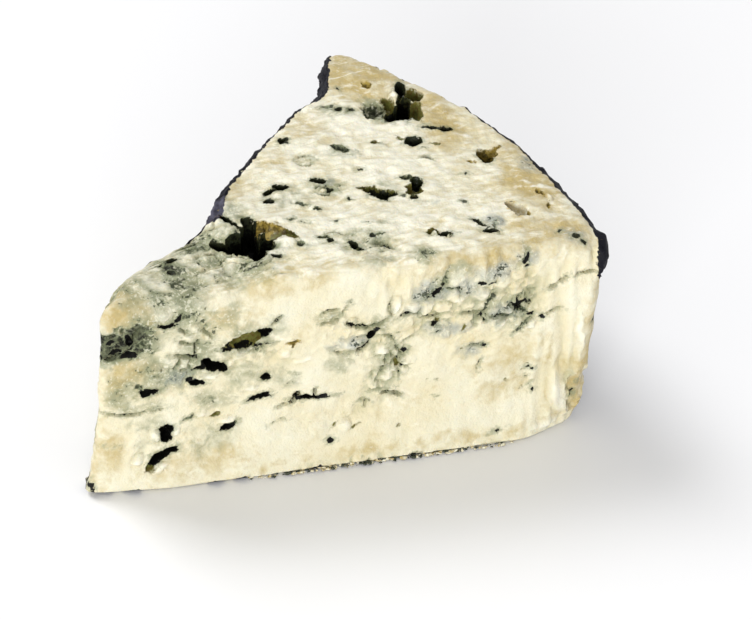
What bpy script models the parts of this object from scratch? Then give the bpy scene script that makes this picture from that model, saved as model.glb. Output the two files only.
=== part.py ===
"""Blue cheese wedge: a one-eighth sector of a small wheel that was also halved level.

The wedge lies on the flat face of the wheel. Its front cut faces -Y, the tip is at -X, and the
curved rim closes the far end. Units are metres, and +Z is up.
Run with: blender --background --python part.py
"""

import math

import bmesh
import bpy
import numpy as np
from mathutils import Euler, Matrix, Vector, noise

MM = 0.001

# Driving dimensions of the wedge
WHEEL_RADIUS = 98.8 * MM
HEIGHT = 45.0 * MM
SECTOR_ANGLE = math.radians(48.0)
CORNER_SOFTNESS = 1.3 * MM

# Where the rays that shape the outline start, as a share of the radius from the tip
CENTRE_SHARE = 0.66

# The second cut is hollow past the tip block, with a nick at each end of the hollow
HOLLOW_DEPTH = 3.3 * MM
HOLLOW_RISE = (16.0 * MM, 31.0 * MM)
HOLLOW_FALL = (84.0 * MM, 98.0 * MM)
NICK_DEPTH = 2.0 * MM
NICK_PLACES = (34.5 * MM, 81.5 * MM)
NICK_HALF_WIDTH = 5.0 * MM
TIP_SWELL = 1.2 * MM
TIP_SWELL_PLACE = 10.0 * MM
TIP_SWELL_HALF_WIDTH = 8.0 * MM

# Profile of the upright faces
FOOT_FLARE = 2.3 * MM
FOOT_HEIGHT = 13.0 * MM
RIM_TUCK = 1.9 * MM
RIM_TUCK_HEIGHT = 7.0 * MM
RIM_FOOT_DEPTH = 15.0 * MM
TIP_FLARE_SHARE = 0.4
TIP_FLARE_REACH = 18.0 * MM
BASE_ROUNDING = 0.9 * MM
EDGE_ROUNDING = 1.6 * MM
SHOULDER_ROUNDING = 4.6 * MM

# The crumbly block at the tip sits lower than the level cut
BLOCK_REACH = 27.0 * MM
BLOCK_DROP = 2.4 * MM
BLOCK_SLOPE = 8.0 * MM

# Where the rounding of the top edge grows from crisp to the shoulder's, and by what share
RIM_SOFT_FROM = 9.0 * MM
RIM_SOFT_TO = 2.0 * MM
FRONT_END_FADE = (18.0 * MM, 50.0 * MM)
RIM_SHARE = 0.25
FRONT_END_SHARE = 0.75
BLOCK_SHARE = 0.6

RELIEF_DEPTH = 0.45 * MM
RELIEF_SIZE = 9.0 * MM
RELIEF_FROM = 6.5 * MM

# Mesh density
OUTLINE_POINTS = 112
WALL_ROWS = 13
ROUNDING_ROWS = 3
TOP_ROWS = 12
OUTLINE_SAMPLES = 2000
ROOT_STEPS = 40

PASTE_COLOUR = (0.86, 0.80, 0.62, 1.0)
PASTE_ROUGHNESS = 0.5

# Cavities: name, centre, size, turn about Y or Z in degrees. Sizes are whole widths.
TOP_CAVITIES = (
    ("cavity_tip_junction", (30.0, 12.0, 44.0), (12.0, 9.5, 11.0), 18.0),
    ("cavity_far_angular", (72.0, 51.5, 45.0), (9.5, 9.0, 12.0), 25.0),
    ("cavity_middle_left", (60.0, 22.3, 45.0), (6.6, 4.6, 9.0), -12.0),
    ("cavity_middle_right", (67.2, 22.6, 45.0), (4.4, 6.4, 9.0), 20.0),
    ("cavity_rim_amber", (85.2, 30.8, 45.0), (6.2, 4.2, 9.0), 35.0),
    ("cavity_rim_shallow", (84.8, 12.4, 45.0), (5.0, 4.0, 6.0), -20.0),
    ("cavity_crescent", (77.0, 7.4, 44.6), (4.6, 4.0, 7.0), 10.0),
    ("cavity_long_slot", (41.0, 27.8, 45.0), (6.0, 2.6, 7.0), 25.0),
)
FRONT_CAVITIES = (
    ("cavity_front_olive", (29.0, 0.0, 32.6), (8.4, 10.0, 5.0), -14.0),
    ("cavity_front_deep", (22.4, 0.0, 27.7), (5.4, 9.0, 3.6), -10.0),
    ("cavity_front_slanted", (12.4, 0.0, 7.6), (8.8, 8.0, 2.8), -32.0),
    ("cavity_front_long", (42.0, 0.0, 16.6), (9.2, 6.0, 2.0), -4.0),
)
CAVITY_ROUGHNESS = 0.16
CAVITY_LUMPS = 3.0
CAVITY_SUBDIVISIONS = 2


def clear_scene():
    for old in list(bpy.data.objects):
        bpy.data.objects.remove(old, do_unlink=True)


def new_collection(name, hidden=False):
    made = bpy.data.collections.new(name)
    made.hide_render = hidden
    bpy.context.scene.collection.children.link(made)
    return made


def smooth_step(start, end, value):
    """0 before start and 1 past end, eased between them."""
    share = np.clip((value - start) / (end - start), 0.0, 1.0)
    return share * share * (3.0 - 2.0 * share)


def bump(value, centre, half_width):
    return np.exp(-(((value - centre) / half_width) ** 2))


def second_cut_hollow(reach):
    """How far the second cut lies inside its straight line, at this distance from the tip."""
    hollow = smooth_step(*HOLLOW_RISE, reach) * (1.0 - smooth_step(*HOLLOW_FALL, reach))
    nicks = sum(bump(reach, place, NICK_HALF_WIDTH) for place in NICK_PLACES)
    swell = bump(reach, TIP_SWELL_PLACE, TIP_SWELL_HALF_WIDTH)
    return HOLLOW_DEPTH * hollow + NICK_DEPTH * nicks - TIP_SWELL * swell


def outside_distance(x, y):
    """Negative inside the plan of the wedge, with its three corners rounded by a soft maximum."""
    reach = x * math.cos(SECTOR_ANGLE) + y * math.sin(SECTOR_ANGLE)
    across = y * math.cos(SECTOR_ANGLE) - x * math.sin(SECTOR_ANGLE)
    sides = np.stack([-y, np.hypot(x, y) - WHEEL_RADIUS, across + second_cut_hollow(reach)])
    return CORNER_SOFTNESS * np.log(np.exp(sides / CORNER_SOFTNESS).sum(axis=0))


def plan_centre():
    half = SECTOR_ANGLE / 2.0
    return np.array([math.cos(half), math.sin(half)]) * WHEEL_RADIUS * CENTRE_SHARE


def no_inset(x, y):
    return np.zeros_like(x)


def ring_on(angle, inset=no_inset):
    """Points where rays from the plan's centre meet its edge, moved in by inset(x, y)."""
    centre = plan_centre()
    ray = np.stack([np.cos(angle), np.sin(angle)], axis=1)
    near = np.zeros(len(angle))
    far = np.full(len(angle), WHEEL_RADIUS)
    for _ in range(ROOT_STEPS):
        middle = (near + far) / 2.0
        x, y = (centre + ray * middle[:, None]).T
        inside = outside_distance(x, y) + inset(x, y) < 0.0
        near = np.where(inside, middle, near)
        far = np.where(inside, far, middle)
    return centre + ray * near[:, None]


def even_angles(count):
    """Directions from the plan's centre that space points evenly round its edge."""
    angle = np.linspace(0.0, 2.0 * math.pi, OUTLINE_SAMPLES + 1)
    steps = np.diff(ring_on(angle), axis=0)
    length = np.concatenate([[0.0], np.hypot(*steps.T).cumsum()])
    wanted = np.linspace(0.0, length[-1], count, endpoint=False)
    return np.interp(wanted, length, angle)


def block_share(x, y):
    """1 on the crumbly block at the tip, easing to 0 past it."""
    return 1.0 - smooth_step(BLOCK_REACH, BLOCK_REACH + BLOCK_SLOPE, np.hypot(x, y))


def edge_rounding(x, y):
    """Radius of the top edge: soft at the rim's front end and round the block, crisp elsewhere."""
    rim = smooth_step(WHEEL_RADIUS - RIM_SOFT_FROM, WHEEL_RADIUS - RIM_SOFT_TO, np.hypot(x, y))
    front_end = rim * (1.0 - smooth_step(*FRONT_END_FADE, y))
    softer = RIM_SHARE * rim + FRONT_END_SHARE * front_end + BLOCK_SHARE * block_share(x, y)
    return EDGE_ROUNDING + (SHOULDER_ROUNDING - EDGE_ROUNDING) * np.clip(softer, 0.0, 1.0)


def top_height(x, y):
    return HEIGHT - BLOCK_DROP * block_share(x, y)


def foot_inset(x, y, height):
    """Negative where the cut faces flare at the foot, positive where the rim tucks under."""
    reach = np.hypot(x, y)
    rim = smooth_step(WHEEL_RADIUS - RIM_FOOT_DEPTH, WHEEL_RADIUS, reach)
    past_tip = smooth_step(0.0, TIP_FLARE_REACH, reach)
    share = TIP_FLARE_SHARE + (1.0 - TIP_FLARE_SHARE) * past_tip
    flare = FOOT_FLARE * share * (1.0 - smooth_step(0.0, FOOT_HEIGHT, height))
    tuck = RIM_TUCK * (1.0 - smooth_step(0.0, RIM_TUCK_HEIGHT, height))
    return tuck * rim - flare * (1.0 - rim)


def wall_rings(angle):
    """Rings up the upright faces, from the base to the shoulder."""
    plan = ring_on(angle)
    shoulder = top_height(*plan.T) - edge_rounding(*plan.T)
    rings = []
    for share in np.linspace(0.0, 1.0, WALL_ROWS):
        height = BASE_ROUNDING + (shoulder - BASE_ROUNDING) * share
        ring = ring_on(angle, lambda x, y, height=height: foot_inset(x, y, height))
        rings.append(np.column_stack([ring, height]))
    return rings


def edge_rings(angle):
    """Rings over the rounded top edge."""
    rings = []
    for turn in np.linspace(0.0, math.pi / 2.0, ROUNDING_ROWS + 1)[1:]:
        share = 1.0 - math.cos(turn)
        inner = ring_on(angle, lambda x, y, share=share: share * edge_rounding(x, y))
        fall = edge_rounding(*inner.T) * (1.0 - math.sin(turn))
        rings.append(np.column_stack([inner, top_height(*inner.T) - fall]))
    return rings


def top_rings(rim):
    """Rings shrinking from the top edge towards the plan's centre."""
    rings = []
    for share in np.linspace(1.0, 0.0, TOP_ROWS + 1)[1:-1]:
        inner = plan_centre() + (rim - plan_centre()) * share
        rings.append(np.column_stack([inner, top_height(*inner.T)]))
    return rings


def wedge_rings():
    """Closed rings of points from the base up over the top edge and in to the plan's centre."""
    angle = even_angles(OUTLINE_POINTS)
    base = ring_on(angle, lambda x, y: foot_inset(x, y, 0.0) + BASE_ROUNDING)
    rings = [np.column_stack([base, np.zeros(len(base))])]
    rings += wall_rings(angle) + edge_rings(angle)
    return rings + top_rings(rings[-1][:, :2])


def add_relief(bm):
    """Low swells over the upright cuts and the top. The base stays flat."""
    bm.normal_update()
    for vert in bm.verts:
        if vert.co.z < RELIEF_FROM:
            continue
        swell = noise.noise(vert.co / RELIEF_SIZE)
        vert.co += vert.normal * swell * RELIEF_DEPTH


def build_wedge(collection):
    """Lofts the rings, closes both ends and centres the solid over its base."""
    bm = bmesh.new()
    rings = [[bm.verts.new(point) for point in ring] for ring in wedge_rings()]
    for lower, upper in zip(rings, rings[1:]):
        for i in range(OUTLINE_POINTS):
            j = (i + 1) % OUTLINE_POINTS
            bm.faces.new((lower[i], lower[j], upper[j], upper[i]))
    bm.faces.new(rings[0][::-1])
    centre = bm.verts.new((*plan_centre(), HEIGHT))
    for i in range(OUTLINE_POINTS):
        bm.faces.new((rings[-1][i], rings[-1][(i + 1) % OUTLINE_POINTS], centre))
    add_relief(bm)
    mesh = bpy.data.meshes.new("cheese_wedge")
    bm.to_mesh(mesh)
    bm.free()
    wedge = bpy.data.objects.new("cheese_wedge", mesh)
    collection.objects.link(wedge)
    return wedge


def add_cavity(collection, name, centre, size, turn):
    """A lumpy ellipsoid that a Boolean takes out of the wedge."""
    bm = bmesh.new()
    bmesh.ops.create_icosphere(bm, subdivisions=CAVITY_SUBDIVISIONS, radius=0.5)
    place = Vector(centre)
    for vert in bm.verts:
        vert.co *= 1.0 + CAVITY_ROUGHNESS * noise.noise(vert.co * CAVITY_LUMPS + place)
    sized = Matrix.LocRotScale(place * MM, Euler(turn), Vector(size) * MM)
    bmesh.ops.transform(bm, matrix=sized, verts=bm.verts)
    mesh = bpy.data.meshes.new(name)
    bm.to_mesh(mesh)
    bm.free()
    cutter = bpy.data.objects.new(name, mesh)
    cutter.hide_render = True
    cutter.display_type = "WIRE"
    collection.objects.link(cutter)
    return cutter


def add_cavities(collection):
    made = []
    for name, centre, size, degrees in TOP_CAVITIES:
        made.append(add_cavity(collection, name, centre, size, (0.0, 0.0, math.radians(degrees))))
    for name, centre, size, degrees in FRONT_CAVITIES:
        made.append(add_cavity(collection, name, centre, size, (0.0, math.radians(degrees), 0.0)))
    return made


def cut(wedge, cutters):
    for cutter in cutters:
        modifier = wedge.modifiers.new(cutter.name, "BOOLEAN")
        modifier.operation = "DIFFERENCE"
        modifier.solver = "EXACT"
        modifier.object = cutter


def centre_over_base(wedge, cutters):
    """Moves the meshes so that the world origin is under the middle of the wedge's box."""
    corners = np.array([vert.co for vert in wedge.data.vertices])
    middle = (corners.min(axis=0) + corners.max(axis=0)) / 2.0
    shift = Matrix.Translation((-middle[0], -middle[1], -corners[:, 2].min()))
    for thing in [wedge, *cutters]:
        thing.data.transform(shift)


def paste_material():
    material = bpy.data.materials.new("blue_cheese_paste")
    material.use_nodes = True
    shader = material.node_tree.nodes["Principled BSDF"]
    shader.inputs["Base Color"].default_value = PASTE_COLOUR
    shader.inputs["Roughness"].default_value = PASTE_ROUGHNESS
    shader.inputs["Metallic"].default_value = 0.0
    material.diffuse_color = PASTE_COLOUR
    return material


def main():
    clear_scene()
    wedge = build_wedge(new_collection("blue_cheese_wedge"))
    cutters = add_cavities(new_collection("cavity_cutters", hidden=True))
    centre_over_base(wedge, cutters)
    cut(wedge, cutters)
    wedge.data.materials.append(paste_material())


main()
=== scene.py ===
"""Looks of the blue cheese wedge: its pitted paste, mould, thin dark rind, crumbs and the stage.

Shapes are worked out in millimetres from the wedge's sharp tip, with the front cut along +X, and
are turned into metres over the middle of the base when a mesh is made.
"""

import itertools
import math

import bpy
import numpy as np
from bpy.props import FloatProperty, FloatVectorProperty, IntProperty, PointerProperty
from mathutils import Matrix, Vector


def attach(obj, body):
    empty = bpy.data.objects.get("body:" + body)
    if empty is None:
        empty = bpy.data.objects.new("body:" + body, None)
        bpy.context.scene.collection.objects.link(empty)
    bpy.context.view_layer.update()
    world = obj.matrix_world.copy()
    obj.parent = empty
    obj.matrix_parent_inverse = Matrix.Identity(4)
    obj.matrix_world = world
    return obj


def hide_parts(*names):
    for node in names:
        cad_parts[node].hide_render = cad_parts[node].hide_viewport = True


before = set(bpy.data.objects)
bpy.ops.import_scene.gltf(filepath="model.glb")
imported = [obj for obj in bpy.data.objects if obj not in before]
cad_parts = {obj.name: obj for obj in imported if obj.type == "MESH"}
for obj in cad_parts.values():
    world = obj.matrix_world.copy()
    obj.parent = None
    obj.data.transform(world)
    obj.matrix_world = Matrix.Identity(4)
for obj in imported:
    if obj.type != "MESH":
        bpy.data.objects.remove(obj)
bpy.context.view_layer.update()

bl_info = {
    "name": "Blue Cheese Wedge",
    "version": (1, 0, 0),
    "blender": (4, 5, 0),
    "location": "View3D > Sidebar > Cheese",
    "description": "Builds a wedge of blue-veined cheese with its rind, crumbs and studio stage",
    "category": "Object",
}

NODE = "cheese_wedge"
TIP = np.array([-49.2, -34.9, 0.0])
METRES = 0.001
CAMERA_AIM = Vector((0.0116, -0.0153, 0.0196))

# Form of the wedge, in millimetres
WHEEL_RADIUS = 98.8
HEIGHT = 45.0
SECTOR_ANGLE = math.radians(48.0)
CORNER_SOFTNESS = 1.3
HOLLOW_DEPTH = 3.3
HOLLOW_RISE = (16.0, 31.0)
HOLLOW_FALL = (84.0, 98.0)
NICK_DEPTH = 2.0
NICK_PLACES = (34.5, 81.5)
NICK_HALF_WIDTH = 5.0
TIP_SWELL = 1.2
TIP_SWELL_PLACE = 10.0
TIP_SWELL_HALF_WIDTH = 8.0
FOOT_FLARE = 2.3
FOOT_HEIGHT = 13.0
RIM_TUCK = 1.9
RIM_TUCK_HEIGHT = 7.0
RIM_FOOT_DEPTH = 15.0
TIP_FLARE_SHARE = 0.4
TIP_FLARE_REACH = 18.0
BASE_ROUNDING = 0.9
EDGE_ROUNDING = 1.6
SHOULDER_ROUNDING = 4.6
BLOCK_REACH = 27.0
BLOCK_DROP = 2.4
BLOCK_SLOPE = 8.0
RIM_SOFT_FROM = 9.0
RIM_SOFT_TO = 2.0
FRONT_END_FADE = (18.0, 50.0)
RIM_SHARE = 0.25
FRONT_END_SHARE = 0.75
BLOCK_SHARE = 0.6
CENTRE_REACH = 0.66
PLAN_CENTRE = np.array([math.cos(SECTOR_ANGLE / 2), math.sin(SECTOR_ANGLE / 2)])
PLAN_CENTRE = PLAN_CENTRE * WHEEL_RADIUS * CENTRE_REACH

# Where each face begins and ends, by the share of the surface's normal that points its way
TOP_FACE = (0.35, 0.85)
FRONT_FACE = (0.35, 0.85)
SECOND_FACE = (0.45, 0.85)
RIM_FACE = (0.3, 0.75)
RIM_FACE_REACH = (0.9, 0.97)

# Marks: strength per millimetre across an outline, room round a mark, skin of a face that it cuts
FIELD_SLOPE = 0.5
HALO = 2.2
HOLE_SKIN = 5.0

# Holes. A noise layer is its strength in millimetres or as a share, its size and its seed.
CORNERED = 1.55
ROUND = 2.0
FLUTED_DEPTH = 2.2
RIM_SNAP = 0.2
RIM_SNAP_MOST = 0.3
WALL_RUN = 0.75
WALL_RUN_LIMITS = (0.22, 0.68)
WALL_LEAN = 0.1
SHIFT_REACH = 1.3
LEAST_SHARE = 0.02
LINING_OVERLAP = 0.1
LINING_WALL = 0.3
LININGS = ("dark", "green", "olive", "amber")
DEPTH_TOP = 8.0
BROAD_DRIFT = (0.6, 4.5, 11)
FINE_DRIFT = (0.32, 1.4, 21)
BROAD_RAGGED = (0.42, 2.4, 61)
FINE_RAGGED = (0.3, 1.05, 62)
SETTLE_ROUNDS = 2
SETTLE_SHARE = 0.6
SETTLE_DEPTH = (0.15, 0.9)

# How far the drift carries each kind of mark, as a share of it
CRACK_DRIFT = 0.6
LUMP_DRIFT = 1.2
STAIN_DRIFT = 1.6
TAN_DRIFT = 2.0
CURD_DRIFT = 2.2
BIT_DRIFT = 1.6

# Cracks and lumps
CRACK_TONE = 0.78
CRACK_TONE_SLOPE = 0.11
GROOVE_PLACE = 1.2
GROOVE_HALF_WIDTH = 0.2
GROOVE_DEPTH = 0.3
BLUNT_ENDS = 4
ROUND_ENDS = 2

# Curds, the finer bits on them and the crevices between: sizes and heights in millimetres
CURD_SIZE = 3.3
CURD_SEED = 33
CURD_FLATNESS = np.array([1.0, 1.0, 1.25])
CURD_SHOULDER = 1.5
CURD_LEVEL = 0.7
BIT_SIZE = 1.5
BIT_SEED = 34
BIT_HEIGHT = 0.26
BIT_SHOULDER = 0.7
BIT_LEVEL = 0.6
CRUMBLY_SHARE = 0.75
CRUMBLY_LAYER = (0.35, 5.0, 31)
PATCHY_LAYER = (1.0, 14.0, 32)
PATCHY_RANGE = (-0.35, 0.4)
PATCHY_SHARE = 0.85
BROKEN_LAYER = (1.0, 6.0, 35)
BROKEN_RANGE = (-0.05, 0.45)
BROKEN_CRUMBLY = 0.5
BROKEN_START = 0.2
CREVICE_WIDTH = 0.22
CREVICE_EASE = 0.2
CREVICE_GAP = 1.3
CREVICE_DEPTH = 0.7
# How dark the crevices between curds are drawn: mould veins and painted shade
CREVICE_SHADE_TONE = 0.92
CREVICE_CRUMBLY = (0.15, 0.5)

# Smooth relief: swells, knife drag on the top, smears and torn folds at the rim end of the front
SWELL_HEIGHT = 0.42
SWELL_SIZE = 10.0
SWELL_SEED = 36
RIPPLE_LAYER = (0.16, 3.0, 39)
DRAG_WANDER = (1.2, 16.0, 44)
DRAG_LAYERS = ((0.2, (3.6, 1.0, 3.0), 45), (0.2, (2.0, 1.5, 3.0), 46))
# How strongly the drag's ridges are drawn whiter and its grooves tanner: the knife's smear with painted
# highlight and shade
DRAG_TONE = 1.4
SMEAR_LAYER = (1.0, (1.9, 2.5, 18.0), 37)
SMEAR_FROM = (82.0, 90.0)
SMEAR_TO = (34.0, 39.0)
SMEAR_HEIGHT = 0.75
FOLD_LAYER = (1.0, (1.7, 2.5, 6.0), 47)
FOLD_PLACE = 41.0
FOLD_HALF_WIDTH = 5.5
FOLD_FROM = (46.0, 58.0)
FOLD_HEIGHT = 0.9
SKIN_HEIGHT = 0.07
SKIN_SIZE = 1.2
SKIN_SEED = 38
WORN_TIP = 0.3
WORN_TIP_REACH = (1.0, 7.0)

# Dark rind, in millimetres. A peak is its place along the cut, its half width and its height.
RIND_FACE_SLOPE = 8.0
TORN_LAYERS = ((1.1, 3.0, 71), (0.7, 1.1, 72))
WORN_RISE = 3.4
WORN_FROM = (42.0, 50.0)
WORN_START = 1.5
WORN_RAGGED = 1.2
RIM_FRONT_END = 4.5
RIM_FRONT_RAGGED = 1.6
RIM_FRONT_TOP = 35.0
LIP_WIDTH = 0.25
LIP_FADE = (36.0, 44.0)
FLAP_WIDTH = 1.8
FLAP_FADE = (0.0, 8.0)
LIP_RAGGED = 0.55
LIP_END = 42.0
LIP_END_SLOPE = 0.5
LIP_FOOT = 37.0
NOTCH_BAND_TOP = 8.0
NOTCH_BAND_FADE = (17.0, 21.0)
BAND_STEP = 1.2
BAND_STEP_REACH = 30.0
BAND_WIDTH = 3.6
BAND_PEAKS = ((37.0, 9.0, 3.0), (92.0, 9.0, 4.0))
BAND_LAYER = (6.0, (6.0, 6.0, 30.0), 73)
BAND_RAGGED = 3.0
STRIP_WIDTH = 1.1
STRIP_PEAKS = ((36.0, 6.0, 1.2), (88.0, 7.0, 0.5))
STRIP_START = (28.0, 32.0)
STRIP_END = (95.0, 98.0)
STRIP_RAGGED = 0.3
FOOT_RIND = 1.5
FOOT_RAGGED = 0.8
FOOT_START = 0.9
RIND_EDGE = (-0.1, 0.4)
RIND_THICKNESS = 0.15
RIND_SMOOTHING = 0.7
BARK_HEIGHT = 0.35
BARK_SIZE = (3.4, 3.4, 2.4)
BARK_SEED = 51
BARK_LAYER = (0.45, 1.7, 52)
FLAP_HEIGHT = 0.9
FLAP_EDGE = (-0.2, 0.4)
FLAP_REACH = (10.0, 30.0)
SHELF_SLOPE = 0.55
SHELF_WIDTH = 3.0

# Tones: how sharply a spot ends, the strongest stain that a mark can hold, veils on the second cut,
# tan rim, bloom of the rind, which on the torn strip by the notch is also a painted sheen
SPOT_EDGE = 1.5
STAIN_TOP = 2.0
VEIL_SIZE = 11.0
VEIL_SEED = 63
VEIL_RANGE = (-0.1, 0.5)
VEIL_STRENGTH = 0.85
RIM_TAN = 0.7
RIM_TAN_RANGE = (0.2, 0.8)
# Slope of the lift, the relief's height, which paints light and shade on the paste
LIFT_SLOPE = 0.55
# The pale patch on the torn strip by the notch: bloom with a painted sheen
BLOOM_SHEEN_PLACE = 36.0
BLOOM_SHEEN_HALF_WIDTH = 6.5
BLOOM_SHEEN_STRIP = (-2.0, 0.5)
RIM_BLOOM = 0.42
RIM_BLOOM_DEPTH = (3.0, 9.0)
RIM_BLOOM_FROM = (8.0, 20.0)
GROUNDED = (0.05, 2.2)

# Crumbs along the foot
CRUMB_SEED = 31
CRUMB_SIDES = 7
CRUMB_RINGS = 3
CRUMB_REACH = (30.0, 84.0)
CRUMB_GATHER = 1.6
CRUMB_RADII = (0.12, 0.36)
CRUMB_SORTS = (0.6, 1.0, 1.2)
CRUMB_SPREAD = (-1.0, 0.25)
CRUMB_STRETCH = ((0.8, 0.6, 0.6), (1.9, 1.2, 1.2))
CRUMB_DENTS = (0.2, 0.55, 81)
CRUMB_SEAT = 0.5
CRUMB_LOWEST = 0.02

# Mesh density, and the angle past which an edge is a crease
CREASE_ANGLE = math.radians(38.0)
CUT_COLUMNS = 240
RIM_COLUMNS = 144
WALL_ROWS = 94
ROW_EASE = 0.82
EDGE_ROWS = 6
ROOT_STEPS = 30
EDGE_STEPS = 1200
NOISE_GAIN = 1.7

# Large whole numbers that mix the place of a lattice cell and a seed into random bits
CELL_MIX = np.array([374761393, 668265263, 1442695041])
SEED_MIX = 974634777
BITS_MIX = 1274126177
LAST_BITS = 0xFFFFFFFF
CURD_JITTER = 0.42

# Height of the grain on the paste and on the crumbs, in metres
GRAIN_HEIGHT = 0.00042
CRUMB_GRAIN_HEIGHT = 0.0003

# Moist paste: a little light passes into it and spreads
MOIST_PASTE = {
    "Coat Roughness": 0.22,
    "Subsurface Weight": 0.18,
    "Subsurface Radius": (1.0, 0.7, 0.42),
    "Subsurface Scale": 0.0016,
    "Specular IOR Level": 0.18,
}

# Stage, in metres, and the camera's sensor in millimetres
FLOOR_SIZE = 8.0
FLOOR_GAP = 0.0002
FLOOR_TONES = ((0.80, 0.80, 0.81, 1.0), (0.84, 0.84, 0.85, 1.0))
FLOOR_MOTTLE = 3.0
FLOOR_ROUGHNESS = 0.45
BACKGROUND = (1.0, 1.0, 1.0, 1.0)
SENSOR_WIDTH = 36.0
KEY_PLACE = (-1.35, 1.65, 2.55)
KEY_AIM = (0.0, 0.0, 0.0)
KEY_SIZE = (1.5, 1.5)
FILL_PLACE = (-1.5, -3.0, 0.78)
FILL_AIM = (0.0, 0.0, 0.02)
FILL_SIZE = (1.8, 1.2)

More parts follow.
